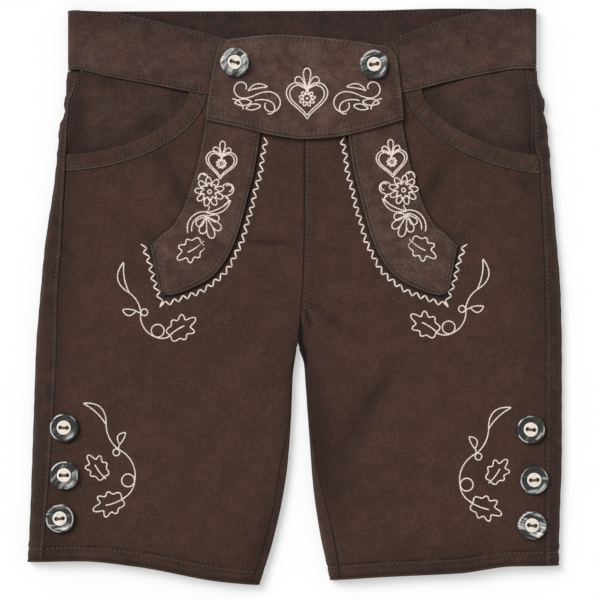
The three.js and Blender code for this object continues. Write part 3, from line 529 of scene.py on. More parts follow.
class Leg:
    """Outline of one leg. inward is the direction along X from its side to its inside."""

    def __init__(self, name, inward, wall, crease_depth):
        fold = curve(SIDE[name], "y", "fold")
        inner = curve(INSIDE[name], "y", "fold")
        self.name = name
        self.inward = inward
        self.wall = wall
        self.crease_depth = crease_depth
        self.pocket = POCKET[name]
        self.outer_fold = lambda y: fold(y) + inward * wall / 2
        self.inner_fold = lambda y: inner(y) - inward * wall / 2
        self.side_seam = curve(SIDE[name], "y", "seam")
        self.inseam = curve(INSIDE[name], "y", "seam")
        self.hem = curve(HEM[name], "x", "y")
        self.crotch_x = self.inner_fold(CROTCH_Y)

    def edge_distance(self, x, y):
        """Distance in from the nearest folded edge, where the crotch is a point."""
        from_side = self.inward * (x - self.outer_fold(y))
        below = self.inward * (self.inner_fold(y) - x)
        above = np.hypot(x - self.crotch_x, y - CROTCH_Y)
        return np.minimum(from_side, np.where(y < CROTCH_Y, below, above))

    def front_height(self, x, y):
        """Middle of the front layer: level but for its creases and waves, and rounded down to
        the folded edges as a quarter ellipse."""
        folds = creases(CREASES, x, y) + waves(x, y)
        rise = plateau(y) - FOLD_HEIGHT + self.crease_depth * folds
        return FOLD_HEIGHT + quarter(self.edge_distance(x, y), TOP_ROUND) * rise

    def back_height(self, x, y):
        """Middle of the back layer: on the surface but for its creases and folded edges."""
        distance = self.edge_distance(x, y)
        flat = FOLD_HEIGHT - quarter(distance, UNDER_ROUND) * (FOLD_HEIGHT - self.wall / 2)
        folds = creases(BACK_CREASES, x, y) * smooth((distance - 4) / 14)
        return flat + self.crease_depth * folds

    def centre_edge(self, y, gap=SEAM_GAP):
        """Edge of a panel at the centre seam, which starts at the fold's point at the crotch."""
        upright = 1 - smooth((y - CROTCH_Y) / 3)
        seam = centre_seam(y) - self.inward * gap / 2
        return mix(seam, self.crotch_x, upright)

    def side_edge(self, y):
        return self.side_seam(y) + self.inward * SEAM_GAP / 2

    def above(self, rise):
        """Height of what lies this far over the front layer's middle."""
        return lambda x, y: self.front_height(x, y) + rise


def creases(table, x, y, height="rise"):
    """Sum of soft ridges and troughs, each (1 - a²)² along its length and a bell across it."""
    turn = np.radians(table["turn"])
    dx = np.asarray(x)[..., None] - table["x"]
    dy = np.asarray(y)[..., None] - table["y"]
    a = (dx * np.cos(turn) + dy * np.sin(turn)) / table["reach"]
    b = (dy * np.cos(turn) - dx * np.sin(turn)) / table["width"]
    return (table[height] * np.maximum(0, 1 - a * a) ** 2 * np.exp(-b * b)).sum(-1)


def shadows(grid):
    """Painted shade: darkness in patches that fade into each other and never reach black."""
    return 1 - np.exp(-creases(SHADOWS, grid[..., 0], grid[..., 1], "depth"))


def waves(x, y):
    """Sum of slow sine waves, each in its own direction."""
    turn = np.radians(WAVES["turn"])
    run = np.asarray(x)[..., None] * np.cos(turn) + np.asarray(y)[..., None] * np.sin(turn)
    return (WAVES["height"] * np.sin(2 * np.pi * run / WAVES["pitch"] + WAVES["phase"])).sum(-1)


def plateau(y):
    return mix(LEG_HEIGHT, WAIST_HEIGHT, smooth((y - 50) / 60))


def pucker(run, pitch):
    """Uneven ripple along a seam, from -1 to 1."""
    drift = 0.9 * np.sin(run / 11.3) + 0.7 * np.sin(run / 4.7 + 1)
    return np.sin(2 * np.pi * run / pitch + drift)


# ---- Panels as grids of points ----


def points(x, y, z):
    return np.stack(np.broadcast_arrays(x, y, z), -1).astype(float)


def pocket_line(leg, share, margin=0):
    """Line between the opening (0) and the front leg's seam (1), grown by a margin."""
    pocket = leg.pocket
    across = mix(*pocket["across"], share)
    y = waist_seam(pocket["x"] + leg.inward * across) - SEAM_GAP / 2
    down = y - mix(*pocket["bottom"], share) + margin
    return {"y": y, "across": across + margin, "down": down}


def pocket_edge(leg, line, turn):
    """Quarter superellipse from the side seam (0) to the waist seam (1)."""
    angle = turn * np.pi / 2
    power = 2 / leg.pocket["power"]
    x = leg.pocket["x"] + leg.inward * line["across"] * np.sin(angle) ** power
    y = line["y"] - line["down"] * np.cos(angle) ** power
    past = leg.inward * (leg.side_edge(y) - x) + SEAM_GAP
    return x + leg.inward * np.maximum(0, past), y


def seam_turn(fold, seam, inward, gap):
    """Angle round the rounding over a folded edge at which a panel stops, a gap past the seam."""
    reach = np.maximum(0, inward * (seam - fold))
    angle = np.arccos(1 - reach / TOP_ROUND)
    rise = LEG_HEIGHT - FOLD_HEIGHT
    return angle + gap / np.hypot(TOP_ROUND * np.sin(angle), rise * np.cos(angle))


def inseam_turn(leg, y, gap):
    """The same at the inseam, which becomes the upright start of the centre seam."""
    fold = leg.inner_fold(y)
    seam = np.where(y < CROTCH_Y, leg.inseam(y), fold)
    return seam_turn(fold, seam, -leg.inward, gap)


def turned_edge(leg, y, fold, inward, end, share):
    """Cloth that turns up round a folded edge, at even angles from the flat (0) to its end (1):
    a quarter ellipse below the fold's line, and the front's own rounding above it."""
    angle = mix(-np.pi / 2, end, share)
    x = fold + inward * np.where(angle < 0, UNDER_ROUND, TOP_ROUND) * (1 - np.cos(angle))
    under = FOLD_HEIGHT + (FOLD_HEIGHT - leg.wall / 2) * np.sin(angle)
    return x, np.where(angle < 0, under, leg.front_height(x, y))


def climb(hem_y, top_y, up):
    """Heights from the hem to a top edge. The rows keep their distance from the hem near it,
    and follow the top edge near that."""
    share = up[:, None] / HEM_PACE
    return hem_y + HEM_PACE * share + (top_y - hem_y - HEM_PACE) * share**2


def front_leg_grid(leg, columns, up):
    """Front panel. Columns from -1 to 0 run in from the side seam, and from 0 to 1 over the
    rounding to the inseam, or level to the centre seam. Rows climb from the hem, and bend
    round the pocket to its seam and the waist seam."""
    inner = np.maximum(columns, 0)

    def section(y):
        edge = np.where(y < CROTCH_Y, leg.inner_fold(y), leg.centre_edge(y))
        end = inseam_turn(leg, y, INSEAM_GAP / 2)
        opened = smooth((y - CROTCH_Y) / OPENING_OUT)

        def inside(share):
            tight = TOP_ROUND * (1 - np.cos(mix(np.pi / 2, end, share)))
            return edge - leg.inward * mix(tight, FRONT_SPREAD * (1 - share), opened)

        flat = mix(leg.side_edge(y), inside(0), columns + 1)
        return np.where(columns < 0, flat, inside(inner))

    pocket_count = int(len(columns) * POCKET_SHARE)
    line = pocket_line(leg, 1, SEAM_GAP)
    pocket_x, pocket_y = pocket_edge(leg, line, np.linspace(0, 1, pocket_count))
    run = np.linspace(0, 1, len(columns) - pocket_count + 1)[1:]
    waist_x = mix(pocket_x[-1], leg.centre_edge(SEAM_BACK_Y), run)
    top_x = np.r_[pocket_x, waist_x]
    top_y = np.r_[pocket_y, waist_seam(waist_x) - SEAM_GAP / 2]
    side, centre = leg.side_edge(top_y), leg.centre_edge(top_y)
    top_share = (top_x - side) / (centre - side)

    y = climb(leg.hem(section(np.full(len(columns), BELOW_HEMS))), top_y, up)
    at_top = mix(leg.side_edge(y), leg.centre_edge(y), top_share)
    fan = np.clip((y - CROTCH_Y) / (top_y - CROTCH_Y), 0, 1) ** FAN_POWER
    x = mix(section(y), at_top, fan)
    return points(x, y, leg.front_height(x, y))


def back_leg_grid(leg, side, flat, inside, up):
    """Back panel. Its columns come down from the side seam round the fold, cross the flat and
    turn up to the inseam. Above the crotch they open out beside the centre-back seam."""
    low, high = len(side), len(side) + len(flat)
    upright = INSEAM_GAP / 2 / (FOLD_HEIGHT - leg.wall / 2)

    def inner_start(y):
        opened = smooth((y - CROTCH_Y) / OPENING_OUT)
        reach = mix(UNDER_ROUND, BACK_SPREAD, opened)
        edge = np.where(y < CROTCH_Y, leg.inner_fold(y), leg.centre_edge(y, 0))
        return edge - leg.inward * reach

    def section(y):
        y_side, y_flat, y_in = y[:, :low], y[:, low:high], y[:, high:]
        fold = leg.outer_fold(y_side)
        end = seam_turn(fold, leg.side_seam(y_side), leg.inward, -SEAM_GAP / 2)
        side_x, side_z = turned_edge(leg, y_side, fold, leg.inward, end, side)

        flat_x = mix(leg.outer_fold(y_flat) + leg.inward * UNDER_ROUND, inner_start(y_flat), flat)
        flat_z = leg.back_height(flat_x, y_flat)

        fold = leg.inner_fold(y_in)
        end = inseam_turn(leg, y_in, -INSEAM_GAP / 2)
        fold_x, fold_z = turned_edge(leg, y_in, fold, -leg.inward, end, inside)
        tight = UNDER_ROUND * (1 - np.cos(mix(np.pi / 2, upright, inside)))
        opened = smooth((y_in - CROTCH_Y) / OPENING_OUT)
        spread = mix(tight, BACK_SPREAD * (1 - inside), opened)
        seam_x = leg.centre_edge(y_in, 0) - leg.inward * spread
        below = y_in < CROTCH_Y
        inner_x = np.where(below, fold_x, seam_x)
        inner_z = np.where(below, fold_z, leg.back_height(seam_x, y_in))
        parts = ((side_x, flat_x, inner_x), (side_z, flat_z, inner_z))
        return [np.concatenate(values, 1) for values in parts]

    hem_x = section(np.full((1, high + len(inside)), BELOW_HEMS))[0][0]
    ends = (leg.outer_fold(SEAM_BACK_Y), leg.side_seam(SEAM_BACK_Y))
    fold_y, seam_y = (waist_seam(x) + SEAM_GAP / 2 for x in ends)
    top_y = np.full(len(hem_x), SEAM_BACK_Y)
    top_y[:low] = mix(top_y[:low], mix(fold_y, seam_y, side), smooth(side / STRIP_SLOPE))
    y = climb(leg.hem(hem_x), top_y, up)
    x, z = section(y)
    return points(x, y, z)


def binding_grid(leg, across, run):
    """Binding along the pocket, from its seam on the front leg (0) to the opening (1)."""
    lines = [pocket_edge(leg, pocket_line(leg, 1 - share), run) for share in across]
    x, y = np.array([line[0] for line in lines]), np.array([line[1] for line in lines])
    return points(x, y, leg.front_height(x, y) + BINDING_LIFT)


def opening_share(leg, line, x, y):
    """Distance from where the side and waist seams would meet, as a share of the opening's
    reach across and down."""
    across = np.maximum(0, leg.inward * (x - leg.pocket["x"])) / line["across"]
    return np.hypot(across, np.maximum(0, line["y"] - y) / line["down"])


def facing_grid(leg, across, up):
    """Hip facing inside the pocket opening: level with the side and waist seams, and dropping
    below the binding towards its hidden lower edge, a superellipse."""
    line = pocket_line(leg, 0)
    share = across * FACING_END
    far_x = leg.pocket["x"] + leg.inward * FACING_REACH * line["across"] * share
    depth = (1 - share**FACING_POWER) ** (1 / FACING_POWER)
    bottom = line["y"] - FACING_REACH * line["down"] * depth

    def column_x(y):
        return mix(leg.side_edge(y) + leg.inward * SEAM_GAP, far_x, across)

    top = waist_seam(column_x(SEAM_BACK_Y)) - SEAM_GAP / 2
    y = mix(bottom, top, up[:, None])
    x = column_x(y)
    start, over = FACING_LEVEL
    level = smooth((opening_share(leg, line, x, y) - start) / over)
    drop = mix(FACING_SEAM_DROP, FACING_DROP, level)
    return points(x, y, leg.front_height(x, y) - drop)


def band_grid(leg, wall, over, turn, up):
    """Half of the front waistband. Its columns run out over the front (over, 0 to 1), round the
    side fold (turn, in degrees from 90 on top to -90 below) and a little way back underneath."""
    fold_x = BAND_ENDS[leg.name] + leg.inward * wall / 2
    fold_z = FOLD_HEIGHT + (wall - leg.wall) / 2
    centre = CENTRE_X - leg.inward * SEAM_GAP / 2
    angle = np.radians(turn)
    reach = np.where(angle > 0, BAND_ROUND, UNDER_ROUND)
    over_x = mix(centre, fold_x + leg.inward * BAND_ROUND, over)
    turn_x = fold_x + leg.inward * reach * (1 - np.cos(angle))
    x = np.r_[over_x, turn_x, fold_x + leg.inward * BAND_TURN]
    edge_x = np.r_[over_x, np.full(len(turn) + 1, fold_x)]
    y = mix(waist_seam(edge_x) + SEAM_GAP / 2, band_top(edge_x), up[:, None])
    level = plateau(y) + (wall - leg.wall) / 2 + waves(x, y)
    side = np.r_[np.ones(len(over_x)), np.sin(angle), -1]
    rise, sink = np.maximum(side, 0), np.maximum(-side, 0)
    z = fold_z + rise * (level - fold_z) - sink * (fold_z - wall / 2)
    return points(x, y, z)


def back_band_grid(legs, wall, across, up):
    """Back waistband, which lies on the surface between the turned ends of the front halves."""
    past = wall / 2 + BAND_TURN + SEAM_GAP
    x = mix(*(BAND_ENDS[leg.name] + leg.inward * past for leg in legs), across)
    y = mix(SEAM_BACK_Y, back_band_top(x), up[:, None])
    return points(x, y, wall / 2)


flap_left = curve(FLAP_SIDES, "y", "left")
flap_right = curve(FLAP_SIDES, "y", "right")
flap_top = curve(FLAP_TOP, "x", "y")
flap_bottom = curve(FLAP_BOTTOM, "x", "y")


def flap_height(walls, x, y):
    """Middle of the flap. It lies on the waistband and below that on the tabs, and between
    the tabs it sags a little towards the legs."""
    on_band = walls.band - walls.leg / 2 + LAYER_GAP + walls.flap / 2
    on_tabs = walls.leg / 2 + LAYER_GAP + walls.tab + LAYER_GAP + walls.flap / 2
    above = y - waist_seam(x)
    over_band = smooth(above / FLAP_STEP + 0.5)
    sag = ridge(x - FLAP_CENTRE_X, *FLAP_SAG) * smooth((-above - 2) / 12)
    right, left = (leg.front_height(x, y) for leg in walls.legs)
    return np.where(x < centre_seam(y), right, left) + mix(on_tabs, on_band, over_band) - sag


def flap_grid(walls, columns, up):
    """Drop-front flap, between its four curved edges, with its upper corners rounded."""
    from_side = np.minimum(columns, FLAP_WIDTH - columns)
    inset, down = round_corner(from_side, FLAP_DEPTH - up[:, None], FLAP_CORNER)
    across = np.where(columns < FLAP_WIDTH / 2, inset, FLAP_WIDTH - inset) / FLAP_WIDTH
    rise = 1 - down / FLAP_DEPTH
    y = mix(flap_bottom(FLAP_CENTRE_X), flap_top(FLAP_CENTRE_X), rise)
    for _ in range(5):
        x = mix(flap_left(y), flap_right(y), across)
        y = mix(flap_bottom(x), flap_top(x), rise)
    return points(x, y, flap_height(walls, x, y))


tab_curves = [curve(TAB_SECTIONS, "station", name) for name in list(TAB_SECTIONS)[1:]]


def tab_place(leg, station, across):
    """Point of a tab in X and Y. The left tab mirrors the right one."""
    outer_x, outer_y, inner_x, inner_y = (line(station) for line in tab_curves)
    x, y = mix(outer_x, inner_x, across), mix(outer_y, inner_y, across)
    return (x if leg.inward > 0 else 2 * FLAP_CENTRE_X - x), y


def tab_grid(leg, walls, columns, up):
    """Tab from its pointed end (0) to its hidden top, its lower inner corner rounded."""
    end, inner = round_corner(up[:, None], TAB_WIDTH - columns, TAB_CORNER)
    x, y = tab_place(leg, TAB_END - end / TAB_PITCH, 1 - inner / TAB_WIDTH)
    lift = walls.leg / 2 + LAYER_GAP + walls.tab / 2
    return points(x, y, leg.front_height(x, y) + lift)


# ---- From grids to meshes ----


def add_mesh(name, places, faces, material, marks=()):
    """Object at the origin from points in millimetres and faces with equally many corners.
    marks are named values or vectors of the points, for the material to read."""
    mesh = bpy.data.meshes.new(name)
    count, corners = faces.shape
    mesh.vertices.add(len(places))
    mesh.vertices.foreach_set("co", (places * MM).astype(np.float32).ravel())
    mesh.loops.add(count * corners)
    mesh.loops.foreach_set("vertex_index", faces.astype(np.int32).ravel())
    mesh.polygons.add(count)
    mesh.polygons.foreach_set("loop_start", np.arange(0, count * corners, corners, dtype=np.int32))
    mesh.polygons.foreach_set("use_smooth", np.ones(count, bool))
    mesh.update(calc_edges=True)
    for mark, values in dict(marks).items():
        vector = values.ndim == 2
        kind = "FLOAT_VECTOR" if vector else "FLOAT"
        data = mesh.attributes.new(mark, kind, "POINT").data
        data.foreach_set("vector" if vector else "value", values.astype(np.float32).ravel())
    mesh.materials.append(material)
    piece = bpy.data.objects.new(name, mesh)
    bpy.context.scene.collection.objects.link(piece)
    return piece


def wall_faces(rows_count, columns_count, mirrored):
    """Quads of a grid's upper and lower faces and of the rim between, wound outwards."""
    half = rows_count * columns_count
    grid = np.arange(half).reshape(rows_count, columns_count)
    a, b, c, d = grid[:-1, :-1], grid[:-1, 1:], grid[1:, 1:], grid[1:, :-1]
    upper = np.stack([a, b, c, d], -1).reshape(-1, 4)
    lower = np.stack([a, d, c, b], -1).reshape(-1, 4) + half
    rim = np.r_[grid[0, :-1], grid[:-1, -1], grid[-1, :0:-1], grid[:0:-1, 0]]
    after = np.roll(rim, -1)
    edge = np.stack([rim, rim + half, after + half, after], -1)
    faces = np.r_[upper, lower, edge]
    return faces[:, ::-1] if mirrored else faces


def place(piece, slot, *nodes):
    """Attaches a piece to its body and hides the CAD nodes that it replaces. Its slot is not used.
    """
    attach(piece, BODY)
    if nodes:
        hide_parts(*nodes)


PANELS = {}


class ClothPanel:
    """Closed wall of cloth round a grid of points, and the grid lines that stitching follows.

    Its faces lie half the wall to both sides of the grid and thin out to a rounded border. The
    outer face is raised by lift and painted with wear, and with painted shade by groove and
    shade. mirrored says that the grid's columns and rows turn clockwise, seen from its upper face.
    """

    def __init__(self, node, grid, wall, outer_up=True, mirrored=False):
        normal = np.cross(direction(grid, 1), direction(grid, 0)) * (-1 if mirrored else 1)
        normal = normal + np.array([0, 0, 1]) * np.maximum(0, LEAST_NORMAL - lengths(normal))
        self.node = node
        self.grid = grid
        self.wall = wall
        self.mirrored = mirrored
        self.normal = unit(normal)
        self.outer_up = outer_up
        self.across = along(grid, 1)
        self.up = along(grid, 0)
        self.from_start = self.across
        self.from_end = self.across[:, -1:] - self.across
        self.from_bottom = self.up
        self.from_top = self.up[-1:] - self.up
        sides = [self.from_start, self.from_end, self.from_bottom, self.from_top]
        self.border = np.minimum.reduce(sides)

    def build(self, dye, slot, rests_on, lift, tug, **paint):
        """Makes the panel's mesh and puts it in the place of its CAD node."""
        half = self.wall / 2 * mix(BORDER_WALL, 1, quarter(self.border, self.wall / 2))
        self.outward = self.normal if self.outer_up else -self.normal
        self.outer = self.grid + self.outward * (half + lift)[..., None]

        def faced(outer, inner):
            pair = [outer, inner] if self.outer_up else [inner, outer]
            return np.concatenate([values.reshape(-1, *values.shape[2:]) for values in pair])

        cut = np.stack([self.across, self.up, np.zeros_like(half)], -1) * MM
        marks = {"cut": faced(cut, cut)}
        marks |= {mark: faced(values, np.zeros_like(half)) for mark, values in paint.items()}
        marks["tug"] = faced(tug, tug)
        places = faced(self.outer, self.grid - self.outward * half[..., None])
        faces = wall_faces(*half.shape, self.mirrored)
        piece = add_mesh(f"{self.node}_cloth", places, faces, dye, marks)
        place(piece, slot, self.node)
        PANELS[self.node] = self

    def line(self, side, at, low=1, high=1):
        """Points and normals of the line that keeps its distance from one side. It stops low
        and high short of the ends, in millimetres."""
        axis = 0 if side in ("start", "end") else 1
        order = -1 if side in ("end", "top") else 1
        along_it = (self.up, self.across)[axis]
        values = (getattr(self, f"from_{side}"), along_it, self.outer, self.outward)
        distance, run, outer, outward = (np.moveaxis(v, axis, 0)[:, ::order] for v in values)
        after = np.maximum((distance < at).sum(1), 1)
        lines = np.arange(len(after))
        near, far = distance[lines, after - 1], distance[lines, after]
        share = (at - near) / (far - near)

        def take(values):
            return mix(values[lines, after - 1].T, values[lines, after].T, share).T

        run = take(run)
        kept = (run >= low) & (run <= run[-1] - high)
        return take(outer)[kept], take(outward)[kept]


def sewn(panel, *seams):
    """Relief and paint of stitched edges, each given by its side and how far in its stitches
    run: a thin roll, a groove behind it if they run further in, and cloth drawn down along
    them and pulled into ribs across them. The groove mark is painted shade in the groove and
    along the stitches."""
    lift = groove = wear = np.zeros(panel.grid.shape[:2])
    tug = np.zeros((*panel.grid.shape[:2], 3))
    for side, at in seams:
        distance = getattr(panel, f"from_{side}")
        behind = distance - (at + PIPE_LINE) / 2
        from_line, from_pipe = distance - at, distance - PIPE_LINE
        piped = smooth((at - PIPED_FROM) / 0.6)
        rolls = ridge(distance, *EDGE_ROLL) + piped * ridge(behind, *INNER_ROLL)
        dents = piped * ridge(from_pipe, *PIPE_DENT) + ridge(from_line, *STITCH_DENT)
        lift = lift + rolls - dents
        # Painted shade in the groove and along the stitches.
        dark = [piped * ridge(from_pipe, *PIPE_DARK), ridge(from_line, *STITCH_DARK)]
        groove = np.maximum.reduce([groove, *dark])
        light = [ridge(distance, *EDGE_LIGHT), piped * ridge(behind, *INNER_LIGHT)]
        wear = np.maximum.reduce([wear, *light])
        pull = ridge(from_line, *NEAR_PULL) + ridge(from_line, *FAR_PULL)
        axis = 1 if side in ("start", "end") else 0
        tug[..., axis] = np.maximum(tug[..., axis], pull)
    return {"lift": lift, "groove": groove, "tug": tug, "wear": wear}


# ---- Stitches ----

SPINDLE = rows("place size", "-0.86 0.62; -0.4 1; 0.4 1; 0.86 0.62")
SPINDLE_SIDES = 6


def ring_faces(count, sides):
    """Triangles of a closed form: a pole, this many rings and a pole."""
    grid = 1 + np.arange(count * sides).reshape(count, sides)
    after = np.roll(grid, -1, axis=1)
    a, b, c, d = grid[:-1], after[:-1], after[1:], grid[1:]
    first = np.stack([after[0], grid[0], np.zeros_like(grid[0])], -1)
    last = np.stack([grid[-1], after[-1], np.full_like(grid[0], count * sides + 1)], -1)
    bands = [np.stack(corners, -1).reshape(-1, 3) for corners in ([a, b, c], [a, c, d])]
    return np.concatenate([first, *bands, last])


def spindles(start, end, normal, radius, arch):
    """Threads as slim spindles from each start to its end. Their middles arch off the cloth."""
    span = end - start
    axis = unit(span)
    side = unit(np.cross(normal, axis))
    up = np.cross(axis, side)
    spot = SPINDLE["place"][None, :, None, None]
    size = SPINDLE["size"][None, :, None, None]
    angle = np.linspace(0, 2 * np.pi, SPINDLE_SIDES, endpoint=False)[None, None, :, None]
    wide = lambda v: v[:, None, None, :]
    middle = wide((start + end) / 2) + wide(span) / 2 * spot + wide(up) * arch * (1 - spot**2)
    rings = middle + radius * size * (wide(side) * np.cos(angle) + wide(up) * np.sin(angle))
    rings = rings.reshape(len(start), -1, 3)
    return np.concatenate([start[:, None], rings, end[:, None]], 1)


def stitches_between(name, start, end, normal, run, dye, radius, arch, seed=1):
    """One piece of threads. run says how far along its line each stitch starts."""
    spots = spindles(start, end, normal, radius, arch)
    rings = len(SPINDLE["place"])
    step = np.arange(len(start))[:, None, None] * spots.shape[1]
    faces = ring_faces(rings, SPINDLE_SIDES) + step
    around = np.r_[0, np.tile(np.arange(SPINDLE_SIDES) / SPINDLE_SIDES, rings), 0]
    strand = np.zeros((*spots.shape[:2], 3))
    strand[..., 0] = around
    strand[..., 1] = (run[:, None] + lengths(spots - start[:, None])[..., 0]) * MM
    strand[..., 2] = np.random.default_rng(seed).random(len(start))[:, None]
    marks = {"strand": strand.reshape(-1, 3)}
    piece = add_mesh(name, spots.reshape(-1, 3), faces.reshape(-1, 3), dye, marks)
    place(piece, "trim_cloth")


def stitched(name, lines, dye, length, gap, radius, arch, sink, seed=1):
    """Rows of even stitches. Each line gives points on the cloth and their normals."""
    threads = []
    for line, normal in lines:
        run = along(line, 0)
        count = max(1, int(round(run[-1] / length)))
        edge = np.linspace(0, run[-1], count + 1)
        at = lambda values, q: np.stack([np.interp(q, run, values[:, k]) for k in range(3)], -1)
        up = at(normal, (edge[:-1] + edge[1:]) / 2)
        tips = (edge[:-1] + gap / 2, edge[1:] - gap / 2)
        threads.append([*(at(line, tip) - up * sink for tip in tips), up, edge[:-1]])
    joined = map(np.concatenate, zip(*threads))
    stitches_between(name, *joined, dye, radius, arch, seed)


# ---- Embroidery motifs ----


def arcs(x, y, heading, *bends):
    """Line of arcs from a point: each bend is the arc's length and the degrees it turns left."""
    runs, turns = np.array(bends, float).T
    share = np.linspace(0, 1, ARC_STEPS + 1)[1:]
    start = np.r_[0, np.cumsum(turns)[:-1]]
    bearing = np.radians(heading + start[:, None] + turns[:, None] * (share - share[0] / 2))
    step = runs[:, None] * share[0]
    line = np.stack([(step * np.cos(bearing)).ravel(), (step * np.sin(bearing)).ravel()], -1)
    return np.r_[[(0, 0)], np.cumsum(line, axis=0)] + (x, y)


def through(spots, fine=5):
    """Smooth line through given points: on each stretch, the Catmull-Rom cubic."""
    p = np.r_[2 * spots[:1] - spots[1:2], spots, 2 * spots[-1:] - spots[-2:-1]]
    t = np.linspace(0, 1, fine, endpoint=False)[:, None]
    a, b, c, d = p[:-3, None], p[1:-2, None], p[2:-1, None], p[3:, None]
    cubic = 2 * b + (c - a) * t + (2 * a - 5 * b + 4 * c - d) * t**2
    cubic = (cubic + (3 * b - a - 3 * c + d) * t**3) / 2
    return np.r_[cubic.reshape(-1, 2), p[-2:-1]]


def bow(x0, y0, x1, y1, rise):
    """Parabola between two points that stands off their middle by rise, to its left."""
    t = np.linspace(0, 1, 14)[:, None]
    start, span = np.array([x0, y0]), np.array([x1 - x0, y1 - y0])
    left = np.array([-span[1], span[0]]) / np.hypot(*span)
    return start + span * t + left * rise * 4 * t * (1 - t)


def blade(x0, y0, x1, y1, rise, other):
    """Leaf or crescent between two points: two parabolas."""
    return np.r_[bow(x0, y0, x1, y1, rise), bow(x0, y0, x1, y1, other)[::-1]]


def placed(lines, x, y, turn=0, size=1):
    """Lines drawn at the origin along +X, scaled, turned by degrees and moved to x, y."""
    angle = math.radians(turn)
    ahead = np.array([math.cos(angle), math.sin(angle)])
    left = np.array([-ahead[1], ahead[0]])
    return [size * (line[:, :1] * ahead + line[:, 1:] * left) + (x, y) for line in lines]


def flipped(lines, about):
    return [line * (-1, 1) + (2 * about, 0) for line in lines]


def oak_leaf():
    """Leaf of length 1 from its stalk to its tip, with its vein: an ellipse whose reach swings
    into lobes, which grow deeper from its base to its tip."""
    t = np.linspace(-np.pi, np.pi, 145)
    reach = LEAF_HALF / np.hypot(2 * LEAF_HALF * np.cos(t), np.sin(t))
    reach = reach * (1 + LEAF_CUT * (0.7 + 0.3 * np.cos(t)) * np.cos(LEAF_LOBES * t))
    edge = np.stack([reach * np.cos(t) + 0.45, reach * np.sin(t)], -1)
    return [edge, bow(-0.12, 0, 0.62, 0, 0.04)]


def spray(x, y, heading, side, lead, reach, tail, leaf=17):
    """Crescent leaf, and from its foot a stem with two loops on one side (1 for its left), a
    bud on the other and an oak leaf at its end. lead, reach and tail are the lengths before,
    between and after the loops."""
    turns = side * np.array([-50, 345, 80, 350, 65])
    stem = arcs(x, y, heading, *zip((lead, 13, reach, 24, tail), turns))
    back = heading + 180 - 45 * side
    bud_turn = heading - 165 * side
    bud = [bow(0, 0, 3, 0, 0.4), blade(3, 0, 11, 2 * side, 3.4, -0.6)]
    return [
        *placed([blade(0, 0, 19, 0, 5.5 * side, 1.5 * side)], x, y, back),
        stem,
        *placed(bud, *stem[ARC_STEPS], bud_turn),
        *placed(oak_leaf(), *stem[-1], heading + turns.sum(), leaf),
    ]


def curl(length, turn):
    """Two nested arcs that leave the origin upwards and bend to one side."""
    inner = arcs(math.copysign(1.6, -turn), 1, 90, (length * 0.6, turn))
    return [arcs(0, 0, 90, (length, turn)), inner]


def petal(length, width, turn=0):
    """Closed drop from the origin, narrow where it starts: a circle times its own reach."""
    t = np.linspace(0, 2 * np.pi, 28)
    reach = (1 - np.cos(t)) / 2
    drop = np.stack([length * reach, width * 0.77 * np.sin(t) * reach], -1)
    return placed([drop], 0, 0, turn)[0]


def star_ring(low, high, petals, turn=0):
    """Closed line round the origin whose radius swings between low and high."""
    t = np.linspace(0, 2 * np.pi, petals * 16 + 1)
    radius = low + (high - low) * np.abs(np.cos(petals * t / 2 + turn)) ** 0.7
    return np.stack([radius * np.cos(t), radius * np.sin(t)], -1)


def edelweiss():
    """Flower of radius 1: two rings of pointed petals round a small eye."""
    return [star_ring(0.4, 1, 9), star_ring(0.25, 0.62, 8, 0.7), star_ring(0.15, 0.15, 3)]


def heart():
    """Heart of half width 1: a cubed sine across, and four cosines up."""
    t = np.linspace(0, 2 * np.pi, 72)
    up = 13 * np.cos(t) - 5 * np.cos(2 * t) - 2 * np.cos(3 * t) - np.cos(4 * t)
    return np.stack([np.sin(t) ** 3, up / 16], -1)


def heart_emblem(flower):
    """Double heart round a flower of its own radius, with three buds in its notch."""
    buds = [petal(length, 0.36, turn) for turn, length in ((48, 0.8), (90, 1.05), (132, 0.8))]
    hearts = [heart(), heart() * 0.84]
    return [*hearts, *placed(edelweiss(), 0, -0.02, 8, flower), *placed(buds, 0, 0.4)]


def flap_motifs():
    """A scroll to each side of a heart: a long S of two curls, a second line in its larger one
    and leaves along it."""
    half = arcs(0, 0, 28, (6, -24), (6, -62), (7, -92), (5, -84), (3, -80))
    inner = arcs(0, -2.4, 18, (7, -40), (5, -84), (4, -100))
    leaves = [blade(-3, 2, 6, 3.6, 2.4, 0.4), blade(-9, -3.4, -1, -3, 1.6, -1.4)]
    leaves += [blade(-4, -6, 3, -4.6, 1.4, -1.2), bow(-10, -1.5, -5, -6.5, 1.4)]
    scroll = placed([half, half * -0.8, inner, *leaves], -24, 120, 0, 1.34)
    emblem = placed(heart_emblem(0.42), 7.3, 118.4, 0, 12.4)
    return [*scroll, *flipped(scroll, 7.3), *emblem]


def tab_motifs():
    """Down the right tab: a heart, a flower between curls, a pair of long leaves over a fan of
    petals, and an oak leaf."""
    lengths = (8, 11, 14, 12, 8)
    fan = [petal(length, 4.5, 226 + 30 * k) for k, length in enumerate(lengths)]
    return [
        *placed(heart_emblem(0.36), -44, 79.5, -4, 9.3),
        *placed(edelweiss(), -51, 62.5, 15, 9),
        *placed(curl(10, 200), -52, 71, 5),
        *placed(curl(15, -240), -43, 66, -35),
        *placed(curl(9, -200), -43, 60, -70),
        bow(-51, 54, -53, 50, 0.5),
        blade(-53, 50, -38, 58, -1.5, -4),
        arcs(-53, 50.5, 172, (20, 115)),
        arcs(-53, 48.5, 176, (15, 105)),
        *placed(fan, -53, 48),
        *placed(oak_leaf(), -56, 32, 215, 16),
    ]


def thigh_motifs():
    """On the right thigh: a spray that bends left."""
    return spray(-99, 2, -35, 1, 14, 19, 10)


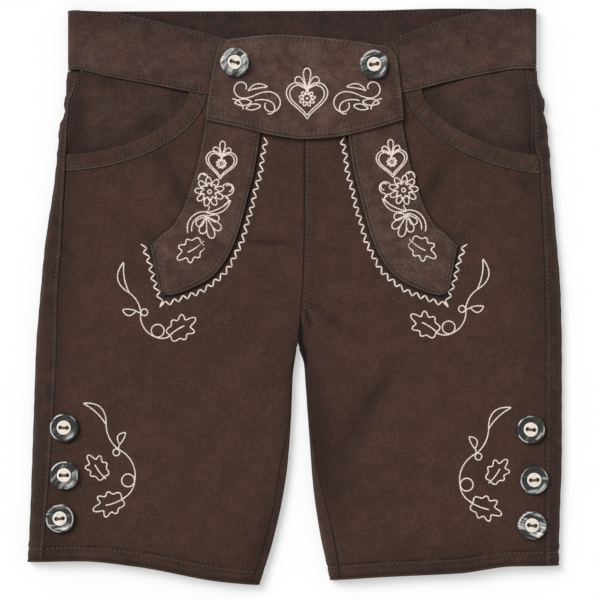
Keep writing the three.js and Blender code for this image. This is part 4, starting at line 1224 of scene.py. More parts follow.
def hem_motifs():
    """Beside the right hem buttons: a spray that bends right, with a second oak leaf."""
    return [*spray(-113, -77, -88, -1, 17, 24, 14), *placed(oak_leaf(), -114, -108, 128, 15)]


def even(line, step):
    """Points of a flat line at even steps."""
    run = along(line, 0)
    at = np.linspace(0, run[-1], max(2, int(round(run[-1] / step)) + 1))
    return np.stack([np.interp(at, run, line[:, k]) for k in range(2)], -1)


def braid(leg, pitch, swing):
    """Corners of a zigzag round a tab: along its inner edge from under the flap, to a sharp
    corner below its rounded one, and up beside its end. The middle line is swung to both
    sides of itself, outwards at the corner."""
    station = np.linspace(BRAID_FROM, TAB_END - 0.6, 40)
    inner = np.stack(tab_place(leg, station, np.ones(40)), -1)
    left = leftward(inner) * leg.inward
    corner, top = np.array([[BRAID_CORNER], [BRAID_TOP]])
    if leg.inward < 0:
        corner, top = flipped([corner, top], FLAP_CENTRE_X)
    down = even(np.r_[inner + left * BRAID_OFF, corner], pitch / 2)
    back = even(np.r_[corner, top], pitch / 2)
    middle = np.r_[down, back[1:]]
    out = leftward(middle) * leg.inward
    from_corner = np.arange(len(middle)) - len(down) + 1
    uneven = 1 + 0.16 * np.sin(from_corner * 2.3) + 0.2 * (from_corner == 0)
    side = (np.where(from_corner % 2, -1, 1) * uneven)[:, None]
    along_it = direction(middle, 0) * BRAID_LEAN * (from_corner != 0)[:, None]
    return middle + side * (out * swing / 2 + along_it)


def on_cloth(height, line):
    """A flat line laid on cloth of a given height: its points, and the cloth's normals there
    from the slopes over a small step."""
    x, y = line[:, 0], line[:, 1]
    step = 0.4
    slope_x = (height(x + step, y) - height(x - step, y)) / (2 * step)
    slope_y = (height(x, y + step) - height(x, y - step)) / (2 * step)
    return points(x, y, height(x, y)), unit(points(-slope_x, -slope_y, 1))


# ---- Shader nodes ----


class Graph:
    """Adds nodes to a tree. Inputs are given as values or as the sockets that feed them."""

    def __init__(self, tree):
        self.tree = tree

    def feed(self, socket, value):
        if isinstance(value, bpy.types.NodeSocket):
            self.tree.links.new(value, socket)
        else:
            socket.default_value = value

    def add(self, kind, inputs, **settings):
        node = self.tree.nodes.new(f"ShaderNode{kind}")
        for name, value in settings.items():
            setattr(node, name, value)
        for name, value in inputs.items():
            self.feed(node.inputs[name], value)
        return node

    def math(self, operation, *values):
        node = self.add("Math", {}, operation=operation)
        for socket, value in zip(node.inputs, values):
            self.feed(socket, value)
        return node.outputs[0]

    def times(self, a, b):
        return self.math("MULTIPLY", a, b)

    def plus(self, a, b, c):
        """a times b plus c."""
        return self.math("MULTIPLY_ADD", a, b, c)

    def wave(self, turns):
        return self.math("SINE", self.times(turns, 2 * math.pi))

    def parts(self, vector):
        return self.add("SeparateXYZ", {"Vector": vector}).outputs

    def place(self):
        return self.add("TexCoord", {}).outputs["Object"]

    def scaled(self, vector, scale):
        inputs = {"Vector": vector, "Scale": scale}
        return self.add("VectorMath", inputs, operation="SCALE").outputs["Vector"]

    def noise(self, vector, scale, detail=3.0, roughness=0.55):
        inputs = {"Vector": vector, "Scale": scale, "Detail": detail, "Roughness": roughness}
        return self.add("TexNoise", inputs).outputs["Fac"]

    def between(self, value, low, high, start=0.0, end=1.0):
        """Value from a range mapped smoothly onto another."""
        names = ("Value", "From Min", "From Max", "To Min", "To Max")
        inputs = dict(zip(names, (value, low, high, start, end)))
        node = self.add("MapRange", inputs, interpolation_type="SMOOTHSTEP")
        return node.outputs["Result"]

    def tinted(self, tone, level):
        return self.blend(1, tone, level, "MULTIPLY")

    def blend(self, factor, a, b, mode="MIX"):
        node = self.add("Mix", {}, data_type="RGBA", blend_type=mode, clamp_factor=True)
        for index, value in ((0, factor), (6, a), (7, b)):
            self.feed(node.inputs[index], value)
        return node.outputs[2]

    def mark(self, name, output="Fac"):
        node = self.add("Attribute", {}, attribute_name=name, attribute_type="GEOMETRY")
        return node.outputs[output]

    def bump(self, height, strength, distance):
        inputs = {"Height": height, "Strength": strength, "Distance": distance}
        return self.add("Bump", inputs).outputs["Normal"]

    def group(self, make, inputs):
        """Outputs of an effect's node group, which is built once."""
        name = make.__name__.replace("_", " ").capitalize()
        tree = bpy.data.node_groups.get(name) or make()
        return self.add("Group", inputs, node_tree=tree).outputs


def effect(name, inputs, outputs):
    """New shader node group with named sockets, as its graph, its inputs and its outputs."""
    tree = bpy.data.node_groups.new(name, "ShaderNodeTree")
    for socket, (kind, value) in inputs.items():
        made = tree.interface.new_socket(socket, in_out="INPUT", socket_type=f"NodeSocket{kind}")
        if value is not None:
            made.default_value = value
    for socket, kind in outputs.items():
        tree.interface.new_socket(socket, in_out="OUTPUT", socket_type=f"NodeSocket{kind}")
    graph = Graph(tree)
    given = tree.nodes.new("NodeGroupInput").outputs
    return graph, given, tree.nodes.new("NodeGroupOutput").inputs


def twill_weave():
    """Fine diagonal ribs of a brushed twill: two crossed rows of waves along the cut, where
    the steeper one breaks the ribs into yarns, blurred by noise."""
    inputs = {"Cut": ("Vector", None), "Pitch": ("Float", 0.0009)}
    graph, given, out = effect("Twill weave", inputs, {"Height": "Float", "Yarn": "Float"})
    place = graph.scaled(given["Cut"], graph.math("DIVIDE", 1, given["Pitch"]))
    drift = graph.add("TexNoise", {"Vector": place, "Scale": 0.16, "Detail": 2})
    moved = {0: place, 1: graph.scaled(drift.outputs["Color"], 1.3)}
    bent = graph.add("VectorMath", moved, operation="ADD")
    part = graph.parts(bent.outputs["Vector"])
    rib = graph.wave(graph.math("ADD", part[0], part[1]))
    yarn = graph.wave(graph.plus(part[1], 2, part[0]))
    nap = graph.noise(place, 1.7, 4, 0.7)
    woven = graph.plus(yarn, 0.25, graph.times(rib, 0.4))
    graph.feed(out["Height"], graph.plus(nap, 1.1, woven))
    graph.feed(out["Yarn"], graph.plus(woven, 0.5, nap))
    return graph.tree


def seam_ribs():
    """Ribs that stitches pull across a seam, at their pitch and drifting a little: on the
    cloth's first axis for seams across it, and on its second for seams up it."""
    inputs = {"Cut": ("Vector", None), "Tug": ("Vector", None), "Pitch": ("Float", 0.0027)}
    graph, given, out = effect("Seam ribs", inputs, {"Ribs": "Float"})
    place = graph.parts(given["Cut"])
    pull = graph.parts(given["Tug"])
    drift = graph.times(graph.noise(given["Cut"], 90, 2), 7)
    pace = graph.math("DIVIDE", 2 * math.pi, given["Pitch"])
    ribs = []
    for run, mask in ((place[0], pull[0]), (place[1], pull[1])):
        wave = graph.math("SINE", graph.plus(run, pace, drift))
        ribs.append(graph.times(graph.between(wave, -0.4, 0.9), mask))
    graph.feed(out["Ribs"], graph.math("MAXIMUM", *ribs))
    return graph.tree


def dye_wear_and_painted_shade():
    """Dye of a brushed cloth: cloudy on two scales, lighter with wear and flecked by its nap,
    with painted shade where the Shade and Groove marks say and between seam ribs."""
    inputs = {
        "Place": ("Vector", None),
        "Dye": ("Color", (0.08, 0.045, 0.036, 1)),
        "Plum": ("Color", (0.1, 0.05, 0.04, 1)),
        "Worn": ("Color", (0.16, 0.11, 0.09, 1)),
        "Cloudiness": ("Float", 0.5),
        "Yarn": ("Float", 0.5),
        "Mottle": ("Float", 0.12),
    }
    inputs |= {mark: ("Float", 0) for mark in ("Wear", "Shade", "Groove", "Ribs")}
    graph, given, out = effect("Dye wear and painted shade", inputs, {"Color": "Color", "Roughness": "Float"})
    clouds = graph.noise(given["Place"], 30, 3, 0.55)
    patches = graph.noise(given["Place"], 95, 4, 0.6)
    spots = graph.noise(given["Place"], 150, 2, 0.5)
    flecks = graph.noise(given["Place"], 760, 3, 0.7)
    drift = graph.plus(spots, 0.45, graph.times(clouds, 0.55))
    hue = graph.times(graph.between(drift, 0.42, 0.58), given["Cloudiness"])
    tone = graph.blend(hue, given["Dye"], given["Plum"])
    soft = graph.between(patches, 0.32, 0.68, -1, 1)
    patchy = graph.plus(soft, given["Mottle"], 1)
    flecked = graph.between(flecks, 0.3, 0.7, 0.78, 1.22)
    yarns = graph.between(given["Yarn"], 0.1, 0.9, 0.86, 1.14)
    level = graph.times(graph.times(patchy, flecked), yarns)
    tone = graph.tinted(tone, level)
    rubbed = graph.times(given["Wear"], graph.between(patches, 0.3, 0.66, 0.45, 1))
    tone = graph.blend(rubbed, tone, given["Worn"])
    # Painted shade: darker where the Shade and Groove marks say and between the seam ribs.
    dark = graph.math("MAXIMUM", given["Shade"], given["Groove"])
    dark = graph.math("MAXIMUM", dark, graph.times(given["Ribs"], 0.62))
    dark = graph.plus(dark, -0.66, 1)
    graph.feed(out["Color"], graph.tinted(tone, dark))
    graph.feed(out["Roughness"], graph.between(patches, 0.3, 0.7, 0.84, 0.97))
    return graph.tree


def thread_twist():
    """Twisted thread: bright and dark plies that wind round the strand as it runs on."""
    inputs = {
        "Strand": ("Vector", None),
        "Dye": ("Color", (0.7, 0.6, 0.53, 1)),
        "Pitch": ("Float", 0.0006),
    }
    graph, given, out = effect("Thread twist", inputs, {"Color": "Color", "Height": "Float"})
    part = graph.parts(given["Strand"])
    wound = graph.math("ADD", graph.math("DIVIDE", part[1], given["Pitch"]), part[0])
    ply = graph.wave(wound)
    level = graph.plus(ply, 0.1, graph.between(part[2], 0, 1, 0.84, 1.06))
    graph.feed(out["Color"], graph.tinted(given["Dye"], level))
    graph.feed(out["Height"], ply)
    return graph.tree


def horn_streaks():
    """Polished horn: soft light streaks along the grain, wide ones broken by fine ones."""
    inputs = {
        "Grain": ("Vector", None),
        "Horn": ("Color", (0.012, 0.012, 0.013, 1)),
        "Streak": ("Color", (0.5, 0.48, 0.45, 1)),
        "Amount": ("Float", 0.6),
        "Rim highlight": ("Float", 0),
    }
    outputs = {"Color": "Color", "Roughness": "Float", "Streaks": "Float"}
    graph, given, out = effect("Horn streaks", inputs, outputs)
    drawn = graph.add("Mapping", {"Vector": given["Grain"], "Scale": (55, 330, 90)})
    wide = graph.noise(drawn.outputs["Vector"], 1, 2, 0.55)
    fine = graph.noise(drawn.outputs["Vector"], 3, 4, 0.7)
    both = graph.plus(fine, 0.3, graph.times(wide, 0.7))
    full = graph.plus(given["Amount"], 0.1, both)
    faint = graph.plus(given["Amount"], 0.7, 0.3)
    broken = graph.times(faint, graph.between(fine, 0.3, 0.62, 0.3, 1))
    streak = graph.times(graph.between(full, 0.54, 0.7), broken)
    # Painted highlight on the rim, broken into patches.
    wear_and_painted_light = graph.between(graph.noise(given["Grain"], 110, 1), 0.48, 0.6)
    streak = graph.math("MAXIMUM", streak, graph.times(given["Rim highlight"], wear_and_painted_light))
    graph.feed(out["Color"], graph.blend(streak, given["Horn"], given["Streak"]))
    graph.feed(out["Roughness"], graph.between(fine, 0.3, 0.7, 0.14, 0.3))
    graph.feed(out["Streaks"], streak)
    return graph.tree


def material(name, even, build):
    """Material of this name, made once: its Principled shader has the even values, and build
    gives what else feeds it."""
    made = bpy.data.materials.get(name)
    if made:
        return made
    made = bpy.data.materials.new(name)
    made.use_nodes = True
    shader = made.node_tree.nodes["Principled BSDF"]
    for socket, value in even.items():
        shader.inputs[socket].default_value = value
    graph = Graph(made.node_tree)
    for socket, value in build(graph).items():
        graph.feed(shader.inputs[socket], value)
    return made


def colour(values):
    return (*values, 1)


def cloth_material(name, cloth, dye, mottle):
    """Brushed twill in one dye, shared by the panels cut from it."""

    def build(graph):
        cut, tug = (graph.mark(mark, "Vector") for mark in ("cut", "tug"))
        weave = graph.group(twill_weave, {"Cut": cut, "Pitch": cloth.weave_pitch})
        ribs = graph.group(seam_ribs, {"Cut": cut, "Tug": tug})["Ribs"]
        place_in = graph.place()
        given = {"Place": place_in, "Dye": colour(dye), "Worn": colour(cloth.worn_colour)}
        given |= {"Plum": colour(cloth.plum_colour), "Cloudiness": cloth.cloudiness}
        given |= {"Yarn": weave["Yarn"], "Ribs": ribs, "Mottle": mottle}
        given |= {mark.capitalize(): graph.mark(mark) for mark in PAINTED}
        wear_and_painted_light = graph.group(dye_wear_and_painted_shade, given)
        height = graph.plus(ribs, -2.4, weave["Height"])
        normal = graph.bump(height, 0.5, 0.0002)
        return {"Base Color": wear_and_painted_light["Color"], "Roughness": wear_and_painted_light["Roughness"], "Normal": normal}

    even = {"Sheen Weight": 0.05, "Sheen Roughness": 0.6, "Specular IOR Level": 0.15}
    return material(name, even, build)


def thread_material(name, dye, pitch, sheen):
    """Twisted thread in one dye."""

    def build(graph):
        strand = graph.mark("strand", "Vector")
        twist = graph.group(thread_twist, {"Strand": strand, "Dye": colour(dye), "Pitch": pitch})
        return {"Base Color": twist["Color"], "Normal": graph.bump(twist["Height"], 0.4, 0.0001)}

    return material(name, {"Roughness": 0.62, "Sheen Weight": sheen}, build)


def embroidery_material(stitches):
    return thread_material("Embroidery thread", stitches.motif_colour, *MOTIF_TWIST)


def pale_material(pale):
    """Matt cream centre, a little darker in slow clouds, with painted shade that makes its holes
    almost black.
    """

    def build(graph):
        cloud = graph.noise(graph.mark("grain", "Vector"), 300, 4, 0.6)
        level = graph.between(cloud, 0.3, 0.7, 0.84, 1.05)
        lit = graph.between(graph.mark("hole"), 0.15, 0.6, 1, 0.02)
        level = graph.times(level, lit)
        tone = graph.tinted(colour(pale), level)
        return {"Base Color": tone, "Normal": graph.bump(cloud, 0.3, 0.0001)}

    return material("Pale centre", {"Roughness": 0.42}, build)


def horn_material(buttons):
    """Dark polished horn with light streaks along the grain, and a painted highlight on the rim.
    """

    def build(graph):
        given = {"Grain": graph.mark("grain", "Vector")}
        for socket, mark in (("Amount", "streak"), ("Rim highlight", "rim")):
            given[socket] = graph.mark(mark)
        given |= {"Horn": colour(buttons.horn_colour), "Streak": colour(buttons.streak_colour)}
        horn = graph.group(horn_streaks, given)
        normal = graph.bump(horn["Streaks"], 1, 0.00005)
        return {"Base Color": horn["Color"], "Roughness": horn["Roughness"], "Normal": normal}

    return material("Dark horn", {"Coat Weight": 0.35, "Coat Roughness": 0.12}, build)


def floor_material(stage):
    """Matt paper with the faintest grain, lit a little from behind like a light table."""

    def build(graph):
        place_in = graph.place()
        grain = graph.between(graph.noise(place_in, 60), 0.3, 0.7, 0.995, 1)
        paper = graph.tinted(colour(stage.floor_colour), grain)
        return {"Base Color": paper, "Emission Color": paper}

    even = {"Roughness": 0.95, "Emission Strength": stage.floor_glow}
    return material("Pale floor", even, build)


# ---- Turned pieces ----


def turned(profile, sides):
    """Points and triangles of a closed form turned about Z: a lower pole, a ring for each
    radius and height of the profile, and an upper pole."""
    angle = np.linspace(0, 2 * np.pi, sides, endpoint=False)
    radius, height = profile[:, :1], profile[:, 1:]
    rings = points(radius * np.cos(angle), radius * np.sin(angle), height)
    low, high = ([(0, 0, height[k, 0])] for k in (0, -1))
    return np.r_[low, rings.reshape(-1, 3), high], ring_faces(len(profile), sides)


def eyes(x, y):
    """How deep a point lies in the two thread holes, from 0 to 1."""
    to_eye = np.hypot(np.abs(x) - EYE_SPACING / 2, y)
    return 1 - smooth((to_eye - EYE_RADIUS + 0.15) / 0.3)


class Button:
    """Place and lean of a CAD button, and its horn's grain."""

    def __init__(self, node):
        *turns, self.streak = BUTTONS[node]
        lean, toward, grain, thread = (math.radians(value) for value in turns)
        low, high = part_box(node)
        tilt = Matrix.Rotation(lean, 3, (-math.sin(toward), math.cos(toward), 0))
        self.node = node
        self.tilt = np.array(tilt)
        self.base = np.array((low + high) / 2) / MM - self.tilt @ (0, 0, BUTTON_HEIGHT / 2)
        self.grain_turn = np.array(Matrix.Rotation(-grain, 3, "Z"))
        self.thread_turn = np.array(Matrix.Rotation(thread, 3, "Z"))

    def placed(self, spots):
        return spots @ self.tilt.T + self.base

    def grain(self, spots):
        """Place in the horn, with the first axis along the grain. Each button is cut from a
        place of its own."""
        return (spots @ self.grain_turn.T + self.base * 3) * MM


# ---- Settings ----


def length_prop(name, description, millimetres):
    return FloatProperty(
        name=name, description=description, default=millimetres * MM, min=0, unit="LENGTH"
    )


def colour_prop(name, description, default):
    return FloatVectorProperty(
        name=name, description=description, default=default, min=0, max=1, subtype="COLOR"
    )


def factor_prop(name, description, default):
    return FloatProperty(
        name=name, description=description, default=default, min=0, max=2, subtype="FACTOR"
    )


class ShortsCloth(PropertyGroup):
    leg_wall: length_prop("Leg cloth", "Thickness of the legs and pockets", 1.2)
    band_wall: length_prop("Waistband cloth", "Thickness of the doubled waistband", 2.2)
    flap_wall: length_prop("Flap cloth", "Thickness of the doubled flap", 2.0)
    tab_wall: length_prop("Tab cloth", "Thickness of the hanging tabs", 1.6)
    crease_depth: factor_prop("Crease depth", "Strength of the creases and waves", 1.0)
    weave_pitch: length_prop("Weave pitch", "Distance between the twill's ribs", 0.9)
    leg_colour: colour_prop("Legs", "Dye of the legs", (0.0515, 0.0262, 0.0175))
    # The back legs' darker colour is painted shade on the side strips, which round away from the
    # light.
    side_colour: colour_prop("Sides", "Dye of the back legs", (0.036, 0.0205, 0.0155))
    band_colour: colour_prop("Waistband", "Dye of the waistband", (0.0705, 0.0405, 0.0325))
    # The back waistband's darker colour is painted shade where it shows between the front halves.
    inside_colour: colour_prop("Inside", "Dye of the back waistband", (0.038, 0.0225, 0.019))
    flap_colour: colour_prop("Flap", "Dye of the flap and tabs", (0.087, 0.052, 0.0395))
    facing_colour: colour_prop("Hip facings", "Dye inside the pockets", (0.0485, 0.0275, 0.0215))
    binding_colour: colour_prop("Bindings", "Dye of the pocket bindings", (0.0565, 0.031, 0.0225))
    plum_colour: colour_prop("Plum clouds", "Plum tone of the cloudy dye", (0.0605, 0.0275, 0.022))
    worn_colour: colour_prop("Wear", "Rubbed nap at edges and folds", (0.118, 0.084, 0.068))
    cloudiness: factor_prop("Cloudiness", "How far the dye drifts to its plum tone", 0.75)


class ShortsStitches(PropertyGroup):
    top_length: length_prop("Topstitch", "Length of a stitch", 2.7)
    top_gap: length_prop("Topstitch gap", "Gap between two topstitches", 1.3)
    top_radius: length_prop("Topstitch thread", "Radius of the thread", 0.34)
    top_colour: colour_prop("Topstitch", "Dye of the topstitch thread", (0.085, 0.055, 0.042))
    motif_length: length_prop("Embroidery stitch", "Length of a stitch", 1.4)
    motif_radius: length_prop("Embroidery thread", "Radius of the thread", 0.46)
    motif_colour: colour_prop("Embroidery", "Dye of the embroidery", (0.83, 0.715, 0.65))
    braid_pitch: length_prop("Braid pitch", "Length of one full zigzag", 5.5)
    braid_swing: length_prop("Braid width", "Width of the zigzag", 3.2)
    braid_radius: length_prop("Braid thread", "Radius of the braid", 0.5)


class ShortsButtons(PropertyGroup):
    horn_colour: colour_prop("Horn", "Dark of the horn", (0.017, 0.018, 0.0165))
    streak_colour: colour_prop("Streaks", "Light streaks in the horn", (0.66, 0.65, 0.62))
    streaks: factor_prop("Streak strength", "How strongly the horn is streaked", 1.0)
    centre_colour: colour_prop("Centre", "Pale centre of the buttons", (0.76, 0.7, 0.61))
    thread_colour: colour_prop("Thread", "Thread that holds the buttons", (0.11, 0.068, 0.028))
    thread_radius: length_prop("Thread", "Radius of a strand in the buttons", 0.4)


class ShortsStage(PropertyGroup):
    floor_colour: colour_prop("Floor", "Plain floor", (0.5, 0.5, 0.5))
    floor_glow: factor_prop("Floor glow", "Light through the floor", 0.88)
    world_light: factor_prop("Even light", "Strength of the light all round", 0.47)
    key_power: FloatProperty(
        name="Key light", description="Strength of the soft lamp", default=2.68, min=0
    )
    height: length_prop("Camera height", "Distance of the camera over the cloth", 1500)
    view: length_prop("View", "Width of the floor in view", 359.2)


# ---- Operators ----


class Garment:
    """The legs' outlines and the cloth thicknesses in millimetres, from the settings."""

    def __init__(self, context):
        self.cloth = context.scene.shorts_cloth
        self.leg = self.cloth.leg_wall / MM
        self.band = self.cloth.band_wall / MM
        self.flap = self.cloth.flap_wall / MM
        self.tab = self.cloth.tab_wall / MM
        depth = self.cloth.crease_depth
        self.legs = [Leg(name, way, self.leg, depth) for name, way in (("right", 1), ("left", -1))]

    def twill(self, name, part, mottle=PIECE_MOTTLE):
        return cloth_material(name, self.cloth, getattr(self.cloth, f"{part}_colour"), mottle)


def leg_panel(kind, leg, grid, wall, outer_up=True):
    """Panel of a leg, whose columns run inwards."""
    return ClothPanel(f"{kind}_{leg.name}", grid, wall, outer_up, leg.inward < 0)


def panel_of(node):
    if node not in PANELS:
        raise RuntimeError(f"{node} is cut before it is stitched")
    return PANELS[node]


def hem_relief(panel):
    """Rise of the turned-up hem: a second layer, pulled into slanting puckers above its
    stitches, with a ridge over them."""
    up = panel.from_bottom - HEM_LINE
    second = HEM_LAYER * (1 - smooth(up / 1.6 + 0.5))
    slant = pucker(panel.grid[..., 0] + HEM_SLANT * panel.from_bottom, HEM_PITCH)
    return second + slant * ridge(up, *HEM_PUCKER) + ridge(up, *HEM_RIDGE)


def hem_shade(panel):
    """Painted shade darkening the turned-up hem, and a broken dark ditch of painted shade above
    its stitches.
    """
    up = panel.from_bottom - HEM_LINE
    broken = 0.5 + 0.3 * pucker(panel.grid[..., 0], 31)
    return np.maximum(HEM_DARK * (1 - smooth(up / 3)), broken * ridge(up, *HEM_DITCH))


def crotch_gape(leg, x, y, from_seam):
    """Painted shade in the dent where the left front turns in beside the crotch: a dark wedge
    that widens down from the seam and thins out along the fold."""
    distance = np.where(y < CROTCH_Y, leg.inward * (leg.inner_fold(y) - x), from_seam)
    width = np.interp(y, *GAPE[leg.name])
    return GAPE_DARK * smooth((width + 0.5 - distance) / 1.2) * smooth(width / 0.6)


def tab_shadow(leg, x, y):
    """Dark line on the leg round a tab, by the distance from the nearest of many points on its
    edges: fainter along the outer one."""
    station = np.linspace(0.5, TAB_END, 70)
    inner, outer = tab_place(leg, station, np.ones(70)), tab_place(leg, station, np.zeros(70))
    end = tab_place(leg, np.full(24, TAB_END), np.linspace(0.9, 0, 24))

    def contact(edge, reach):
        apart = [np.hypot(x - px, y - py) for px, py in zip(*edge)]
        return bell(np.minimum.reduce(apart) - 0.5, reach)

    return np.maximum.reduce([contact(inner, 1.2), contact(end, 1.1), 0.6 * contact(outer, 1.2)])


class SHORTS_OT_back_legs(Operator):
    """Cut the back legs, which turn up round both folded edges"""

    bl_idname = "shorts.back_legs"
    bl_label = "Back legs"

    def execute(self, context):
        garment = Garment(context)
        # Painted shade: the back legs get a darker colour than the front legs.
        dye = garment.twill("Side twill in painted shade", "side", LEG_MOTTLE)
        for leg in garment.legs:
            grid = back_leg_grid(leg, BACK_SIDE, BACK_FLAT, BACK_INSIDE, BACK_ROWS)
            panel = leg_panel("back_leg", leg, grid, leg.wall, False)
            x, y, z = np.moveaxis(grid, -1, 0)
            from_seam = panel.from_start
            ripples = sum(
                strength * pucker(y + slant * from_seam, pitch)
                for strength, pitch, slant in SIDE_PUCKERS
            )
            ripples = ripples * (0.2 + ridge(y, *HIP_BULGE)) * smooth(from_seam / 3)
            ripples = ripples * (1 - smooth((from_seam - STRIP_WIDTH) / 5))
            marks = sewn(panel, ("start", SIDE_LINE), ("bottom", HEM_LINE))
            lift = marks["lift"] + hem_relief(panel) + ripples
            free = smooth((z - leg.wall / 2) / CLEAR_HEIGHT)
            marks["lift"] = np.minimum(lift, lift * free)
            no_fold = FAR_OFF * (y > CROTCH_Y)
            outer, inner = np.abs(x - leg.outer_fold(y)), np.abs(x - leg.inner_fold(y)) + no_fold
            worn_fold = ridge(np.minimum(outer, inner), *FOLD_LIGHT)
            marks["wear"] = np.maximum(worn_fold, HEM_WEAR * marks["wear"])
            gape = crotch_gape(leg, x, y, np.inf)
            # Painted shade from the shadows table and in the crotch dent.
            marks["shade"] = np.maximum(SHADOW_SHARE["back"] * shadows(grid), gape)
            panel.build(dye, "leg_cloth", (), **marks)
        return {"FINISHED"}


class SHORTS_OT_front_legs(Operator):
    """Cut the front legs, with their hems, pocket edges and lapped centre seam"""

    bl_idname = "shorts.front_legs"
    bl_label = "Front legs"

    def execute(self, context):
        garment = Garment(context)
        dye = garment.twill("Leg twill", "leg", LEG_MOTTLE)
        for leg in garment.legs:
            grid = front_leg_grid(leg, FRONT_COLUMNS, FRONT_ROWS)
            panel = leg_panel("front_leg", leg, grid, leg.wall)
            x, y = grid[..., 0], grid[..., 1]
            marks = sewn(panel, ("bottom", HEM_LINE))
            seam = sewn(panel, ("end", CENTRE_LINE))
            lapped = smooth((y - LAP_FROM) / 6) * (leg.name == "left")
            lap = LAP_RISE * (1 - smooth((panel.from_end - LAP_WIDTH) / 1.1))
            gape = crotch_gape(leg, x, y, panel.from_end)
            marks["lift"] += hem_relief(panel) + lapped * (lap + LAPPED["lift"] * seam["lift"])
            marks["lift"] -= GAPE_DENT * gape
            marks["wear"] *= HEM_WEAR
            for mark in ("groove", "wear"):
                marks[mark] = np.maximum(marks[mark], LAPPED[mark] * lapped * seam[mark])
            marks["tug"] = np.maximum(marks["tug"], lapped[..., None] * seam["tug"])
            # Painted shade: darker towards the folded edges and along the side and centre seams,
            # and the painted shadows of the creases, the crotch dent, the tabs and the hem.
            rim = ridge(leg.edge_distance(x, y), *RIM_DARK)
            edges = ridge(panel.from_start, *SIDE_DARK) + ridge(panel.from_end, *CENTRE_DARK)
            shade = [shadows(grid), rim, edges, gape, tab_shadow(leg, x, y), hem_shade(panel)]
            marks["shade"] = np.maximum.reduce(shade)
            panel.build(dye, "leg_cloth", [f"back_leg_{leg.name}"], **marks)
        return {"FINISHED"}


def facing_shade(leg, grid):
    """Soft dark strip that the pocket's edge throws on the facing behind it."""
    line = pocket_line(leg, 0)
    share = opening_share(leg, line, grid[..., 0], grid[..., 1])
    return ridge((1 - share) * line["down"], *FACING_DARK)


class SHORTS_OT_hip_facings(Operator):
    """Cut the hip facings that show inside the pocket openings"""

    bl_idname = "shorts.hip_facings"
    bl_label = "Hip facings"

    def execute(self, context):
        garment = Garment(context)
        dye = garment.twill("Facing twill", "facing")
        for leg in garment.legs:
            grid = facing_grid(leg, FACING_STEPS, FACING_STEPS)
            panel = leg_panel("pocket_facing", leg, grid, leg.wall)
            marks = sewn(panel, ("start", SIDE_LINE))
            marks["shade"] = np.maximum(shadows(grid), facing_shade(leg, grid))
            panel.build(dye, "leg_cloth", [f"back_leg_{leg.name}"], **marks)
        return {"FINISHED"}


class SHORTS_OT_pocket_bindings(Operator):
    """Cut the topstitched bindings along the pocket openings"""

    bl_idname = "shorts.pocket_bindings"
    bl_label = "Pocket bindings"

    def execute(self, context):
        garment = Garment(context)
        dye = garment.twill("Binding twill", "binding")
        for leg in garment.legs:
            grid = binding_grid(leg, BINDING_ACROSS, BINDING_RUN)
            panel = leg_panel("pocket_binding", leg, grid, leg.wall)
            marks = sewn(panel, ("bottom", BINDING_LINE))
            strength, pitch, slant = BINDING_PUCKER
            marks["lift"] += strength * pucker(panel.across + slant * panel.up, pitch)
            # Painted shade along the binding's seam, with the painted shadows.
            seam = ridge(panel.from_bottom, *BINDING_DARK)
            marks["shade"] = np.maximum(SHADOW_SHARE["binding"] * shadows(grid), seam)
            panel.build(dye, "trim_cloth", [f"pocket_facing_{leg.name}"], **marks)
        return {"FINISHED"}


class SHORTS_OT_waistband(Operator):
    """Cut the back waistband and the two halves of the front one"""

    bl_idname = "shorts.waistband"
    bl_label = "Waistband"

    def execute(self, context):
        garment = Garment(context)
        dye = garment.twill("Waistband twill", "band")
        # Painted shade: the back waistband gets a darker colour than the front halves.
        inside = garment.twill("Waistband lining side", "inside", LEG_MOTTLE)

        def finish(panel, twill, rests_on):
            marks = sewn(panel, ("top", BAND_TOP_LINE), ("bottom", BAND_SEAM_LINE))
            # Painted shade, darker towards the waistband's top edge.
            top_shade = sum(dark * np.exp(-panel.from_top / reach) for dark, reach in BAND_TOP_SHADE)
            marks["shade"] = np.maximum(shadows(panel.grid), top_shade)
            panel.build(twill, "band_cloth", rests_on, **marks)

        wall = garment.band
        grid = back_band_grid(garment.legs, wall, BACK_BAND_ACROSS, BAND_ROWS)
        finish(ClothPanel("back_waistband", grid, wall), inside, ())
        for leg in garment.legs:
            grid = band_grid(leg, wall, BAND_OVER, BAND_TURN_STEPS, BAND_ROWS)
            panel = ClothPanel(f"front_waistband_{leg.name}", grid, wall, True, leg.inward > 0)
            finish(panel, dye, ["back_waistband"])
        return {"FINISHED"}


class SHORTS_OT_flap(Operator):
    """Cut the drop-front flap"""

    bl_idname = "shorts.flap"
    bl_label = "Flap"

    def execute(self, context):
        garment = Garment(context)
        grid = flap_grid(garment, FLAP_COLUMNS, FLAP_ROWS)
        panel = ClothPanel("front_flap", grid, garment.flap)
        sides = [(side, FLAP_LINE) for side in ("start", "end", "top")]
        marks = sewn(panel, *sides, ("bottom", FLAP_LOW_LINE))
        dye = garment.twill("Flap twill", "flap")
        panel.build(dye, "trim_cloth", FRONT_BANDS, **marks, shade=shadows(grid))
        return {"FINISHED"}


